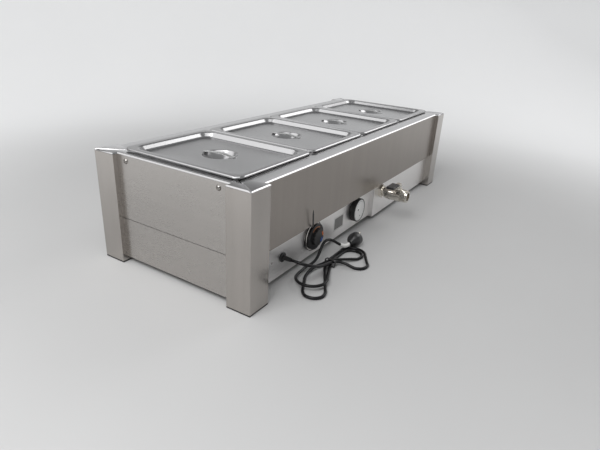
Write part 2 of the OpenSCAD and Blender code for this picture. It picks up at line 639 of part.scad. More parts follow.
// Pans and lids: pressed sheet, skinned over rounded rectangles and, in the lids, circles
corner_n = 6;
ring_n = 4 * corner_n;
function rounded(x, y, r, z) = [for (c = [0 : 3], i = [0 : corner_n - 1]) let (a = 90 * c + 90 * i / (corner_n - 1),
  sx = c == 0 || c == 3 ? 1 : -1, sy = c < 2 ? 1 : -1)
  [sx * (x / 2 - r) + r * cos(a), sy * (y / 2 - r) + r * sin(a), z]];
function round_ring(r, z) = [for (i = [0 : ring_n - 1]) let (a = (i + 0.5) * 360 / ring_n) [r * cos(a), r * sin(a), z]];
seat_z = cab_h + bar_t;
rim_z = seat_z + pan_lip;
pan_play = 1;
mouth_x = pan_x - 2 * (rim_seat + pan_play);
mouth_y = pan_y - 2 * (rim_seat + pan_play);
mouth_r = 34;
pan_draft = 7;
pan_foot = 8;
rim_r = 18;
module at_pan(i) cab() translate([row_end + (i + 0.5) * pan_x, cab_w / 2, 0]) children();
// A rounded rectangle drawn in from the pan's mouth or from its rim
function mouth_ring(inset, z) = rounded(mouth_x - 2 * inset, mouth_y - 2 * inset, max(mouth_r - inset, 4), z);
function rim_ring(inset, z) = rounded(pan_x - pan_gap - 2 * inset, pan_y - pan_gap - 2 * inset, rim_r - inset, z);
module pan(i) color(polished) at_pan(i) {
  low = floor_z + pan_under;
  t = sheet_t;
  skin([mouth_ring(pan_draft + pan_foot, low), mouth_ring(pan_draft + 0.3 * pan_foot, low + 0.3 * pan_foot),
    mouth_ring(pan_draft, low + pan_foot), mouth_ring(0, rim_z - t), rim_ring(t, rim_z - t),
    rim_ring(t, seat_z), rim_ring(0, seat_z), rim_ring(0, rim_z - t), rim_ring(t, rim_z),
    mouth_ring(t, rim_z), mouth_ring(pan_draft + t, low + pan_foot),
    mouth_ring(pan_draft + t + 0.3 * pan_foot, low + t + 0.3 * pan_foot),
    mouth_ring(pan_draft + t + pan_foot, low + t)]);
}

lid_play = 2;
lid_r = 20;
function lid_ring(inset, z) = rounded(pan_x - lid_gap - 2 * inset, pan_y - lid_gap - 2 * inset, lid_r - inset, z);
panel_z = rim_z - lid_sink;
dish_ball = (dish_d * dish_d / 4 + dish_h * dish_h) / (2 * dish_h);
function dish_ring(share, z) = let (r = share * dish_d / 2)
  round_ring(r, z - sqrt(dish_ball * dish_ball - r * r) + dish_ball - dish_h);
dish_shares = [0.15, 0.4, 0.65, 0.85, 1];
module lid(i) color(polished) at_pan(i) {
  t = sheet_t;
  wall = sheet_t + lid_play;
  skin(concat([for (s = dish_shares) dish_ring(s, panel_z)],
    [mouth_ring(wall + lid_slope, panel_z), mouth_ring(wall, rim_z), lid_ring(t, rim_z), lid_ring(t, rim_z - lid_lip),
      lid_ring(0, rim_z - lid_lip), lid_ring(0, rim_z), lid_ring(t, rim_z + t),
      mouth_ring(wall + t, rim_z + t), mouth_ring(wall + t + lid_slope, panel_z + t)],
    [for (s = [len(dish_shares) - 1 : -1 : 0]) dish_ring(dish_shares[s], panel_z + t)]));
}

// Bar handle: a strip welded at both ends beside the dish, a little arched over it
function grip_lift(y) = abs(y) >= dish_d / 2 ? 0 : grip_rise * (1 + cos(360 * y / dish_d)) / 2;
module lid_handle(i) color(steel) at_pan(i) {
  half = dish_d / 2;
  z = panel_z + sheet_t;
  steps = 12;
  stations = concat([-half - grip_foot], [for (k = [0 : steps]) half * (2 * k / steps - 1)], [half + grip_foot]);
  translate([-grip_w / 2, 0, 0]) rotate([90, 0, 90]) linear_extrude(grip_w) polygon(concat(
    [for (y = stations) [y, z + grip_lift(y)]],
    [for (k = [len(stations) - 1 : -1 : 0]) [stations[k], z + grip_lift(stations[k]) + grip_t]]));
}

// Mains lead: out of the strain relief, down to a hank drawn in by a tie, and over to the plug.
// The hank is a loose figure of eight: two loops to each side of its waist.
waist = [285, -20.2];
waist_turn = -4;
waist_half = 13.2;
tie_t = 1.2;
tie_w = 6;
tie_play = 0.4;
cord_r = cord_d / 2;
cord_lie = 0.2;
layer_step = cord_d + 1;
cord_join = 6;
waist_up = 1.25;
function curve(a, b, c, d, t) =
  0.5 * (2 * b + (c - a) * t + (2 * a - 5 * b + 4 * c - d) * t * t + (3 * b - a - 3 * c + d) * t * t * t);
function laid(s) = [s.x, s.y, cord_r + cord_lie + layer_step * s.z];
// Each bend of the hank: x and y of its centre, radius, first and last angle, layers up at its start and its end
wide_loop = [[278, -52, 26, 80, 0, waist_up, 0.6], [329.5, -71.5, 24.5, 192, 288, 0.06, 0],
  [372, -36, 32, -48, 108, 0, 0]];
long_loop = [[343, -229, 225, 98, 112, 0.1, 0.2], [153, -54, 24.5, 300, 118, 0.03, 0], [224, -85, 85, 112, 62, 0.04, 1]];
small_loop = [[201.5, -199.7, 200, 68, 62, 1.2, waist_up], [365.5, -38.5, 24.7, -122, 100, 0.06, 0]];
round_loop = [[353.6, -236, 225, 100, 114, 0.1, 0.25], [188, -26, 35, 292, 92, 1.08, 1.08]];
hank_from = laid([263, -24, 1.65]);
hank_to = laid([226, 12.5, 1]);
cord_stop = 18;
function bend_stops(b) = let (n = max(1, round(abs(b[4] - b[3]) * PI / 180 * b[2] / cord_stop)))
  [for (k = [0 : n]) let (a = b[3] + (b[4] - b[3]) * k / n)
    laid([b[0] + b[2] * cos(a), b[1] + b[2] * sin(a), b[5] + (b[6] - b[5]) * k / n])];
// Stops of the straight run from the end of one bend to the start of the next
function run_stops(p, q) = let (n = max(1, round(norm(q - p) / cord_stop)))
  [for (k = [1 : 1 : n - 1]) p + (q - p) * k / n];
hank_bends = concat([[hank_from]],
  [for (b = concat(wide_loop, long_loop, small_loop, round_loop)) bend_stops(b)], [[hank_to]]);
function end_of(v) = v[len(v) - 1];
hank_stops = [for (i = [0 : len(hank_bends) - 1])
  for (s = concat(i == 0 ? [] : run_stops(end_of(hank_bends[i - 1]), hank_bends[i][0]), hank_bends[i])) s];
hank_n = len(hank_stops) - 1;

relief_end = [gland_x, ctrl_in - gland_t - relief_l, gland_z];
lead_stops = [relief_end + [0, 14, 0], relief_end, [161, 0.5, 56.3], [164.3, -13.1, 53.9], [173.4, -23.8, 50],
  [186.5, -29.2, 44.5], [205, -30, 36.5], [225, -27.8, 28.3], [245, -25, 21.2]];
plug_turn = 0;
plug_at = [393, -16, plug_d / 2];
plug_way = [cos(plug_turn), sin(plug_turn), 0];
tail_stops = [[245, 10, 12.2], [260, 8.8, 14.6], [273, 9, 20.5], [284, 10, 29], [294, 11.4, 38], [305, 12, 45],
  [317.5, 10.8, 47.5], [329, 7.2, 45.5], [339, 2, 39.8], [348, -4, 32.6], [357, -9.6, 26], [367, -13.8, 21],
  [377, -15.7, 18.8], plug_at - 8 * plug_way];
way_in = unit(hank_stops[1] - lead_stops[len(lead_stops) - 1]);
way_out = unit(tail_stops[0] - hank_stops[hank_n - 1]);
hank_route = concat([hank_stops[0] + cord_join * way_in], [for (i = [1 : hank_n - 1]) hank_stops[i]],
  [hank_stops[hank_n] - cord_join * way_out]);
lead_path = concat(spline(concat(lead_stops, [hank_stops[0] - cord_join * way_in]), 3), [hank_stops[0]]);
hank_path = concat([hank_stops[0]], spline(hank_route, 2), [hank_stops[hank_n]]);
tail_path = concat([hank_stops[hank_n]], spline(concat([hank_stops[hank_n] + cord_join * way_out], tail_stops), 2), [plug_at]);
// Least gap of the hank to itself, between points a good way apart along it
hank_fine = spline(hank_route, 5);
hank_gap = min([for (i = [0 : len(hank_fine) - 1], j = [i + 20 : 1 : len(hank_fine) - 1])
  norm(hank_fine[i] - hank_fine[j])]) - cord_d;
echo(hank_least_gap = hank_gap);
function length_of(path, i = 1) = i >= len(path) ? 0 : norm(path[i] - path[i - 1]) + length_of(path, i + 1);
echo(cord_length = length_of(lead_path) + length_of(hank_path) + length_of(tail_path));
module cord_lead() color(black) cab() tube(lead_path, cord_d, 10);
module cord_hank() color(black) cab() tube(hank_path, cord_d, 6);
module cord_tail() color(black) cab() tube(tail_path, cord_d, 10);

// Tie round the hank's waist
module cord_tie() color(black) cab() translate([waist.x, waist.y, 0]) rotate([0, 0, waist_turn]) {
  half = waist_half;
  top = cord_d + cord_lie + waist_up * layer_step + 2 * tie_play;
  difference() {
    translate([-tie_w / 2, -half - tie_t, 0]) cube([tie_w, 2 * (half + tie_t), top + tie_t]);
    translate([-tie_w, -half, tie_t]) cube([2 * tie_w, 2 * half, top - tie_t]);
  }
}

// Plug: a round two-pin body with a tapered grip, lying on the table
module plug() color(black) cab() translate(plug_at) rotate([0, 0, plug_turn]) rotate([0, 90, 0]) {
  neck_l = 12;
  cylinder(d1 = cord_d + 4, d2 = 0.55 * plug_d, h = neck_l);
  translate([0, 0, neck_l]) cylinder(d1 = 0.55 * plug_d, d2 = plug_d, h = plug_l / 3);
  translate([0, 0, neck_l + plug_l / 3]) cylinder(d = plug_d, h = plug_l / 2);
  for (x = [-9.5, 9.5]) translate([x, 0, neck_l + plug_l / 3 + plug_l / 2]) cylinder(d = 4.8, h = 19);
}

post(0, 0);  // post_front_left
post(1, 0);  // post_front_right
post(0, 1);  // post_back_left
post(1, 1);  // post_back_right
foot_pads();
deck_front();
deck_back();
deck_left();
deck_right();
upper_panel_front();
upper_panel_back();
upper_panel_left();
upper_panel_right();
base_panel_back();
base_panel_left();
base_panel_right();
control_panel();
drain_panel();
base_plate();
water_tank();
crossbars();
heating_element();
thermostat_body();
sensing_bulb();
switch_body();
switch_bezel();
terminal_block();
wiring();
cable_gland();
panel_screws();
drain_pipe();
drain_locknut();
valve_body();
valve_outlet();
valve_seats();
pan(0);  // pan_1
pan(1);  // pan_2
pan(2);  // pan_3
pan(3);  // pan_4
lid(0);  // lid_1
lid(1);  // lid_2
lid(2);  // lid_3
lid(3);  // lid_4
lid_handle(0);  // lid_handle_1
lid_handle(1);  // lid_handle_2
lid_handle(2);  // lid_handle_3
lid_handle(3);  // lid_handle_4
thermostat_knob();
thermostat_shaft();
switch_knob();
switch_shaft();
valve_ball();
valve_stem();
valve_lever();
lever_sleeve();
cord_lead();
cord_hank();
cord_tail();
cord_tie();
plug();
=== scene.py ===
import json
import math

import bmesh
import bpy
from mathutils import Matrix, Vector

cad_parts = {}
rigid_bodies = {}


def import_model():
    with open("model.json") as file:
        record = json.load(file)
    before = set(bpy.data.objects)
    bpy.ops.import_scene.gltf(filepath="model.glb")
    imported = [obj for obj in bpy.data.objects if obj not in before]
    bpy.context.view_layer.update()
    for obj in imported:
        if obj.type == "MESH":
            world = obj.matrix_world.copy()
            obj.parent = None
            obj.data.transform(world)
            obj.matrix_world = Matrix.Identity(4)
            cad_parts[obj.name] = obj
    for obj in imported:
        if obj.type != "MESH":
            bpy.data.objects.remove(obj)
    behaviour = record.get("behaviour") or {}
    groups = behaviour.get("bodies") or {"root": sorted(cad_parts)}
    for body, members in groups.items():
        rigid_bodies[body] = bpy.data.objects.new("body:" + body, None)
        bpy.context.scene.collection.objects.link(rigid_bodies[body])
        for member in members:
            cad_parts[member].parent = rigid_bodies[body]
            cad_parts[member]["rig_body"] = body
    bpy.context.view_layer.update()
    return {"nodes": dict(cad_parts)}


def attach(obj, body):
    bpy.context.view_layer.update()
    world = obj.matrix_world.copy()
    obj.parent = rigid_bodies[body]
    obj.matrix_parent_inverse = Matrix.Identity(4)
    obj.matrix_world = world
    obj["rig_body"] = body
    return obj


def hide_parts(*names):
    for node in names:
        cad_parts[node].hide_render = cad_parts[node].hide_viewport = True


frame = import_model()
nodes = frame["nodes"]
scene = bpy.context.scene
scene.view_settings.view_transform = "Standard"


# Camera: stands in front of the left end, a little above the lids, and looks along the cabinet.
# Its place and lens come from the straight edges of the cabinet in the photograph.
view_ahead = Vector((0.78519, 0.47630, -0.39574))
view_right = Vector((0.53729, -0.84173, 0.05296))
view_turn = Matrix((view_right, view_right.cross(view_ahead), -view_ahead)).transposed().to_4x4()
camera_spot = (-1.1795, -0.6612, 0.5383)
camera_data = bpy.data.cameras.new("camera")
camera_data.sensor_width = 36.0
camera_data.lens = 28.479
camera = bpy.data.objects.new("camera", camera_data)
camera.matrix_world = Matrix.Translation(camera_spot) @ view_turn
scene.collection.objects.link(camera)
scene.camera = camera


# Floor and light: a round pale sweep of painted board, curved up on all sides, with four soft lamps.
# Away from the object the board is evenly pale to the eye and in the steel, and lights nothing else.
class Wire:
    """A socket's value. Sums and products of wires and numbers add Math nodes."""

    def __init__(self, finish, socket):
        self.finish = finish
        self.socket = socket

    def worked(self, operation, left, right):
        return self.finish.add("ShaderNodeMath", {"operation": operation}, {0: left, 1: right})

    def __add__(self, other):
        return self.worked("ADD", self, other)

    def __radd__(self, other):
        return self.worked("ADD", other, self)

    def __sub__(self, other):
        return self.worked("SUBTRACT", self, other)

    def __rsub__(self, other):
        return self.worked("SUBTRACT", other, self)

    def __mul__(self, other):
        return self.worked("MULTIPLY", self, other)

    def __rmul__(self, other):
        return self.worked("MULTIPLY", other, self)


class Finish:
    """A material whose nodes are added by kind, settings and sockets."""

    def __init__(self, name):
        self.material = bpy.data.materials.new(name)
        self.material.use_nodes = True
        self.tree = self.material.node_tree
        self.shader = self.tree.nodes["Principled BSDF"]

    def add(self, kind, settings=None, sockets=None, output=0):
        node = self.tree.nodes.new(kind)
        for key, value in (settings or {}).items():
            setattr(node, key, value)
        self.feed(node, sockets or {})
        return Wire(self, node.outputs[output])

    def feed(self, node, sockets):
        for key, value in sockets.items():
            if isinstance(value, Wire):
                self.tree.links.new(value.socket, node.inputs[key])
            else:
                node.inputs[key].default_value = value

    def shade(self, **sockets):
        self.feed(self.shader, {key.replace("_", " "): value for key, value in sockets.items()})

    def place(self):
        return self.add("ShaderNodeTexCoord", output="Object")

    def noise(self, scale, detail=3.0, stretch=(1.0, 1.0, 1.0)):
        spot = self.add("ShaderNodeMapping", {}, {"Vector": self.place(), "Scale": stretch})
        return self.add("ShaderNodeTexNoise", {}, {"Vector": spot, "Scale": scale, "Detail": detail})

    def between(self, share, first, second):
        return self.add("ShaderNodeMix", {"data_type": "RGBA"}, {0: share, 6: first, 7: second}, 2)

    def bump(self, height, strength, depth):
        return self.add("ShaderNodeBump", {}, {"Height": height, "Strength": strength, "Distance": depth})


def shaded(tone, factor=1.0):
    """A tone made lighter or darker, as a full colour."""
    return tuple(min(1.0, channel * factor) for channel in tone) + (1.0,)


def lit_by(name, spot, target, width, height, power, roll=0.0):
    """A soft lamp of a given width and height that faces its target."""
    lamp_data = bpy.data.lights.new(name, "AREA")
    lamp_data.shape = "RECTANGLE"
    lamp_data.size = width
    lamp_data.size_y = height
    lamp_data.energy = power
    lamp = bpy.data.objects.new(name, lamp_data)
    lamp.location = spot
    aim = (Vector(target) - Vector(spot)).to_track_quat("-Z", "Y")
    lamp.rotation_euler = (aim.to_matrix() @ Matrix.Rotation(math.radians(roll), 3, "Z")).to_euler()
    scene.collection.objects.link(lamp)


board = Finish("painted_board")
board_tone, board_glow = (0.52, 0.52, 0.52), (0.38, 0.385, 0.39)
pale_from, pale_to = 0.7, 2.0
dim_from, dim_to = 0.6, 1.6
board_seen = sum(board.add("ShaderNodeLightPath", output=ray)
                 for ray in ("Is Camera Ray", "Is Glossy Ray", "Is Transmission Ray"))
board_away = board.add("ShaderNodeVectorMath", {"operation": "LENGTH"}, {0: board.place()}, "Value")
board_pale = board.add("ShaderNodeMapRange", {"interpolation_type": "SMOOTHSTEP"},
                       {"Value": board_away, "From Min": pale_from, "From Max": pale_to})
board_up = board.add("ShaderNodeSeparateXYZ", {}, {"Vector": board.place()}, "Z")
board_dim = board.add("ShaderNodeMapRange", {"interpolation_type": "SMOOTHSTEP"},
                      {"Value": board_up, "From Min": dim_from, "From Max": dim_to})
board_share = board_seen * board_pale * (1.0 - board_dim)
board.shade(Base_Color=board.between(board.noise(2.5), shaded(board_tone, 0.97), shaded(board_tone, 1.03)),
            Roughness=0.55 + 0.08 * board.noise(40.0),
            Specular_IOR_Level=0.25,
            Emission_Color=board.between(board_share, shaded((0.0, 0.0, 0.0)), shaded(board_glow)),
            Emission_Strength=1.0)

sweep_r, sweep_out, sweep_top = 1.0, 3.5, 2.6
sweep_sides, sweep_steps = 128, 16
sweep_middle = (-1.0, -0.6, -0.0002)
sweep_line = [(0.5, 0.0), (1.5, 0.0), (sweep_out - sweep_r, 0.0)]
for step in range(1, sweep_steps + 1):
    angle = math.radians(90 * step / sweep_steps)
    sweep_line.append((sweep_out - sweep_r + sweep_r * math.sin(angle),
                       sweep_r - sweep_r * math.cos(angle)))
sweep_line.append((sweep_out, sweep_top))
sweep_angles = [math.tau * k / sweep_sides for k in range(sweep_sides)]
sweep_corners = [(out * math.cos(angle), out * math.sin(angle), up)
                 for out, up in sweep_line for angle in sweep_angles]
sweep_faces = [tuple(range(sweep_sides))]
for i in range(len(sweep_line) - 1):
    for k in range(sweep_sides):
        near, far = i * sweep_sides, (i + 1) * sweep_sides
        beside = (k + 1) % sweep_sides
        sweep_faces.append((near + k, far + k, far + beside, near + beside))
sweep_mesh = bpy.data.meshes.new("sweep")
sweep_mesh.from_pydata(sweep_corners, [], sweep_faces)
sweep_mesh.transform(Matrix.Translation(sweep_middle))
sweep_mesh.materials.append(board.material)
sweep_mesh.shade_smooth()
sweep = bpy.data.objects.new("sweep", sweep_mesh)
scene.collection.objects.link(sweep)

room = bpy.data.worlds.new("room")
room.use_nodes = True
room_light = room.node_tree.nodes["Background"]
room_light.inputs["Color"].default_value = (0.98, 0.99, 1.0, 1.0)
room_light.inputs["Strength"].default_value = 0.36
scene.world = room
lit_by("key_light", (-2.0, 0.0, 2.0), (-0.8, -0.1, 0.0), 1.6, 1.2, 42.0)
lit_by("window", (-0.9, 1.5, 2.2), (0.0, 0.0, 0.2), 2.4, 1.6, 15.0)
lit_by("soft_box", (1.53, -0.76, 1.37), (0.0, 0.1, 0.27), 1.4, 0.8, 8.5, -48)
lit_by("over_light", (-1.05, -0.7, 2.25), (-0.1, 0.1, 0.2), 1.3, 1.3, 7.0)


# Corner posts: square tubes folded from brushed stainless sheet, welded along one edge.
# They run from the rubber pads up to the deck, and the panels are fixed between them.
def brushed(name, tone, along, rough, line_depth=0.00012, spread=0.16):
    """Metal with fine lines brushed along one axis, broad streaks and faint smears."""
    finish = Finish(name)
    lines = finish.noise(14.0, 4.0, [4.0 if axis == along else 110.0 for axis in "xyz"])
    streaks = finish.noise(2.2, 2.0, [1.0 if axis == along else 22.0 for axis in "xyz"])
    smears = finish.noise(11.0, 5.0)
    share = 0.45 * lines + 0.35 * streaks + 0.2 * smears
    finish.shade(Base_Color=finish.between(share, shaded(tone, 1.0 - spread), shaded(tone, 1.0 + spread)),
                 Metallic=1.0,
                 Roughness=rough * (0.7 + 0.3 * lines + 0.3 * smears),
                 Normal=finish.bump(lines, 0.25, line_depth))
    return finish


def dressed(name, mesh, finish, body, slot, *replaced):
    """A finished mesh becomes a piece: it rides on a body and may stand for CAD nodes."""
    mesh.materials.clear()
    mesh.materials.append(finish.material)
    piece = bpy.data.objects.new(name, mesh)
    scene.collection.objects.link(piece)
    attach(piece, body)
    if replaced:
        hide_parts(*replaced)
    return piece


def smoothed(mesh, angle=35.0):
    """Smooth shading, but for edges that bend by more than an angle in degrees."""
    mesh.shade_smooth()
    mesh.set_sharp_from_angle(angle=math.radians(angle))
    return mesh


def folded(node, finish, slot, fold=0.6, steps=2, hem=0.0):
    """A node's own shape with its loose triangles joined and its edges rounded as folded sheet is."""
    shape = bmesh.new()
    shape.from_mesh(nodes[node].data)
    bmesh.ops.remove_doubles(shape, verts=shape.verts, dist=1e-6)
    bmesh.ops.dissolve_limit(shape, angle_limit=math.radians(0.5), verts=shape.verts, edges=shape.edges)
    if hem:
        top = max(vert.co.z for vert in shape.verts)
        rim = [edge for edge in shape.edges if min(vert.co.z for vert in edge.verts) > top - 1e-5]
        bmesh.ops.bevel(shape, geom=rim, offset=hem / 1000, segments=1, affect="EDGES", profile=0.5)
    mesh = bpy.data.meshes.new(node + "_shape")
    shape.to_mesh(mesh)
    shape.free()
    smoothed(mesh)
    blank = bpy.data.objects.new(node + "_blank", mesh)
    scene.collection.objects.link(blank)
    edge = blank.modifiers.new("fold", "BEVEL")
    edge.width = fold / 1000
    edge.segments = steps
    edge.limit_method = "ANGLE"
    edge.angle_limit = math.radians(40)
    edge.harden_normals = True
    finished = bpy.data.meshes.new_from_object(blank.evaluated_get(bpy.context.evaluated_depsgraph_get()))
    bpy.data.objects.remove(blank)
    return dressed(node + "_shell", finished, finish, nodes[node]["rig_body"], slot, node)


post_steel = brushed("post_steel", (0.47, 0.443, 0.418), "z", 0.22)
for post in ("post_front_left", "post_front_right", "post_back_left", "post_back_right"):
    folded(post, post_steel, "cabinet_steel", 0.75)


# Foot pads: black rubber caps plugged into the posts' open feet.
# They keep the steel off the table and show as a dark line under each post.
def rubber(name, tone, rough=0.55):
    """Rubber with a fine moulded grain and a little dust."""
    finish = Finish(name)
    grain = finish.noise(900.0, 2.0)
    dust = finish.noise(25.0, 4.0)
    finish.shade(Base_Color=finish.between(dust, shaded(tone, 0.7), shaded(tone, 1.5)),
                 Roughness=rough - 0.1 + 0.2 * dust,
                 Normal=finish.bump(grain, 0.2, 0.0001))
    return finish


pad_rubber = rubber("pad_rubber", (0.022, 0.021, 0.020))
folded("foot_pads", pad_rubber, "black_rubber", 0.5)


# Outer panels: brushed stainless sheets between the posts, each with folds turned inwards.
# The base panels and the upper panels meet at a narrow seam.
# The long panels are brushed upright, the end panels level. The long panels' darker tone is painted shade.
end_steel = brushed("end_panel_steel", (0.48, 0.458, 0.438), "y", 0.28, 0.00002, 0.12)
for panel in ("base_panel_left", "base_panel_right", "upper_panel_left", "upper_panel_right"):
    folded(panel, end_steel, "cabinet_steel", 0.25)
# Painted shade: the long panels' steel is darker than the end panels' to stand in for the shade on those
# sides.
long_steel_painted_shade = brushed("long_panel_steel_painted_shade", (0.36, 0.330, 0.304), "z", 0.36, 0.00012, 0.16)
for panel in ("upper_panel_front", "upper_panel_back", "base_panel_back"):
    folded(panel, long_steel_painted_shade, "cabinet_steel")


# Control panel and drain panel: smoother sheet with a mill finish, set back under the upper panel.
# The base plate under the cabinet is the same sheet, with slots that let air in.
# Painted light: the sheet's pale tone is partly its own and partly a stand-in for the light these panels
# reflect.
mill_steel_painted_light = brushed("mill_steel_painted_light", (0.94, 0.925, 0.915), "x", 0.38, 0.00003, 0.06)
for panel in ("control_panel", "drain_panel", "base_plate"):
    folded(panel, mill_steel_painted_light, "cabinet_steel")


# Deck: four polished rails, mitred at the corners and welded to the posts and the tank.
# Their hems are tight, so the edges catch a thin bright line.
deck_steel = brushed("deck_steel", (0.50, 0.495, 0.50), "x", 0.10, 0.00002, 0.10)
for rail in ("deck_front", "deck_back", "deck_left", "deck_right"):
    folded(rail, deck_steel, "deck_steel", 0.3, hem=2.4)


# Tank and crossbars: the open water tank under the deck, and the T-bars that part the pans.
# The tank is plain satin sheet, dulled by hot water. The bars are polished as the deck is.
tank_steel = brushed("tank_steel", (0.58, 0.58, 0.59), "x", 0.40)
folded("water_tank", tank_steel, "deck_steel")
folded("crossbars", deck_steel, "deck_steel", 0.5)


# Heating element: one bent tube over the tank's floor, darkened and scaled by the heat.
# The sensing bulb beside it is copper, and its fine tube runs down to the thermostat.
heater_dark, heater_pale = (0.10, 0.09, 0.085), (0.34, 0.31, 0.28)
heater_skin = Finish("heater_skin")
scale_spots = heater_skin.noise(60.0, 5.0)
heater_skin.shade(Base_Color=heater_skin.between(scale_spots, shaded(heater_dark), shaded(heater_pale)),
                  Metallic=0.85,
                  Roughness=0.35 + 0.3 * scale_spots)
folded("heating_element", heater_skin, "heater", 0.4)
copper = brushed("copper", (0.80, 0.46, 0.30), "x", 0.32)
folded("sensing_bulb", copper, "copper", 0.4)


# Parts behind the control panel: the two control housings, the terminal block and the wires.
# They are moulded plastic and insulated wire, and stay out of sight inside the cabinet.
def moulded(name, tone, rough=0.4, grain_size=700.0):
    """Moulded plastic with a fine grain and traces of handling."""
    finish = Finish(name)
    grain = finish.noise(grain_size, 2.0)
    handling = finish.noise(30.0, 4.0)
    finish.shade(Base_Color=finish.between(handling, shaded(tone, 0.85), shaded(tone, 1.12)),
                 Roughness=rough - 0.08 + 0.16 * handling,
                 Normal=finish.bump(grain, 0.12, 0.00008))
    return finish


pale_plastic = moulded("pale_plastic", (0.70, 0.67, 0.60))
black_plastic = moulded("black_plastic", (0.020, 0.020, 0.021), 0.32)
wire_skin = moulded("wire_skin", (0.30, 0.13, 0.08))
folded("thermostat_body", pale_plastic, "pale_plastic")
folded("switch_body", black_plastic, "black_plastic")
folded("terminal_block", pale_plastic, "pale_plastic")
folded("wiring", wire_skin, "wire", 0.0)


# Switch: a chrome ring on the panel, and a black moulded knob with a fluted grip in front of it.
# Orange and blue arcs printed on the grip tell its settings; a copper-coloured painted highlight lies on
# the skirt.
def skinned(name, rings, closed=True):
    """A skin over rings of equally many points. Each end is closed by a fan to its middle."""
    count = len(rings[0])
    points = [Vector(point) for ring in rings for point in ring]
    faces = []
    for k in range(len(rings) - 1):
        for i in range(count):
            j = (i + 1) % count
            faces.append((k * count + i, k * count + j, (k + 1) * count + j, (k + 1) * count + i))
    if closed:
        for end in (0, len(rings) - 1):
            points.append(sum((Vector(point) for point in rings[end]), Vector()) / count)
            for i in range(count):
                faces.append((end * count + i, end * count + (i + 1) % count, len(points) - 1))
    mesh = bpy.data.meshes.new(name)
    mesh.from_pydata(points, [], faces)
    shape = bmesh.new()
    shape.from_mesh(mesh)
    bmesh.ops.remove_doubles(shape, verts=shape.verts, dist=1e-7)
    bmesh.ops.recalc_face_normals(shape, faces=shape.faces)
    shape.to_mesh(mesh)
    shape.free()
    return mesh


middle_x, middle_y = 560.0, 183.0


def cab(x, y, z):
    """A point of the cabinet in metres, from millimetres measured from the front left post's corner."""
    return Vector((x - middle_x, y - middle_y, z)) / 1000.0


def set_at(x, y, z, turn=Matrix.Identity(4)):
    """From a piece's own millimetres to metres at a point of the cabinet, turned on the way."""
    return Matrix.Translation(cab(x, y, z)) @ turn @ Matrix.Scale(0.001, 4)


def facing_front(x, y, z):
    """The same, with Z turned to point out of the control side."""
    return set_at(x, y, z, Matrix(((1, 0, 0, 0), (0, 0, -1, 0), (0, 1, 0, 0), (0, 0, 0, 1))))


def arc_strip(name, inner, outer, start, end, z0, z1, steps=24):
    """A flat strip bent round a circle, from one angle to another in degrees."""
    rings = []
    for i in range(steps + 1):
        angle = math.radians(start + (end - start) * i / steps)
        c, s = math.cos(angle), math.sin(angle)
        rings.append([(inner * c, inner * s, z0), (outer * c, outer * s, z0), (outer * c, outer * s, z1),
                      (inner * c, inner * s, z1)])
    return skinned(name, rings)


chrome = brushed("chrome", (0.86, 0.83, 0.79), "y", 0.13, 0.00002)
folded("switch_bezel", chrome, "bright_steel", 0.2)
folded("switch_knob", black_plastic, "black_plastic", 0.7, 3)
folded("switch_shaft", chrome, "bright_steel", 0.3)
switch_x, switch_y, knob_z, panel_y = 288.0, 30.0, 63.5, 36.0
switch_face = facing_front(switch_x, switch_y, knob_z)
mark_thick = 0.5
# The orange and blue arcs are print. The copper-coloured arc on the skirt is a painted highlight, not
# print.
switch_marks = (("orange", (0.85, 0.20, 0.04), 16.0, 20.0, 2, 38, 12.75),
                ("blue", (0.04, 0.13, 0.50), 13.0, 18.0, -54, -14, 12.75),
                ("copper", (0.45, 0.17, 0.07), 24.0, 26.5, 55, 135, 5.75))
for mark, tone, inner, outer, start, end, base in switch_marks:
    arc_print_and_highlight = moulded(mark + "_print", tone, 0.45)
    strip = arc_strip(mark + "_arc", inner, outer, start, end, base, base + mark_thick)
    strip.transform(switch_face)
    dressed("switch_" + mark + "_arc", smoothed(strip), arc_print_and_highlight, "switch", "black_plastic")


# Thermostat: a black drum of a knob with ribs round its side, and a white printed face let into it.
# The face carries plain marks round its edge and two dots.
def turned(name, profile, steps=96):
    """A mesh turned about Z. The profile lists radius and height."""
    return skinned(name, [[(r * math.cos(math.tau * i / steps), r * math.sin(math.tau * i / steps), z)
                           for i in range(steps)] for r, z in profile])


class Pattern:
    """A Geometry Nodes tree with named inputs. Its nodes are added by kind, settings and sockets."""

    def __init__(self, name, **inputs):
        self.tree = bpy.data.node_groups.new(name, "GeometryNodeTree")
        self.tree.interface.new_socket("Geometry", in_out="OUTPUT", socket_type="NodeSocketGeometry")
        self.labels = {}
        for label, kind in inputs.items():
            socket = self.tree.interface.new_socket(label, in_out="INPUT", socket_type="NodeSocket" + kind)
            self.labels[label] = socket.identifier
        self.sizes = self.tree.nodes.new("NodeGroupInput").outputs

    def add(self, kind, settings, sockets, output=0):
        node = self.tree.nodes.new(kind)
        for key, value in settings.items():
            setattr(node, key, value)
        for key, value in sockets.items():
            if isinstance(value, bpy.types.NodeSocket):
                self.tree.links.new(value, node.inputs[key])
            else:
                node.inputs[key].default_value = value
        return node.outputs[output] if len(node.outputs) else None

    def end(self, copies):
        real = self.add("GeometryNodeRealizeInstances", {}, {"Geometry": copies})
        painted = self.add("GeometryNodeSetMaterial", {},
                           {"Geometry": real, "Material": self.sizes["Finish"]})
        self.add("NodeGroupOutput", {}, {"Geometry": painted})

    def made(self, name, base=None, **values):
        """Runs the tree on a base mesh with its inputs set, and gives back the plain mesh."""
        blank = bpy.data.objects.new(name + "_blank", base or bpy.data.meshes.new(name + "_base"))
        scene.collection.objects.link(blank)
        maker = blank.modifiers.new("maker", "NODES")
        maker.node_group = self.tree
        for label, value in values.items():
            maker[self.labels[label]] = value
        mesh = bpy.data.meshes.new_from_object(blank.evaluated_get(bpy.context.evaluated_depsgraph_get()))
        blank.modifiers.remove(maker)
        bpy.data.objects.remove(blank)
        return mesh


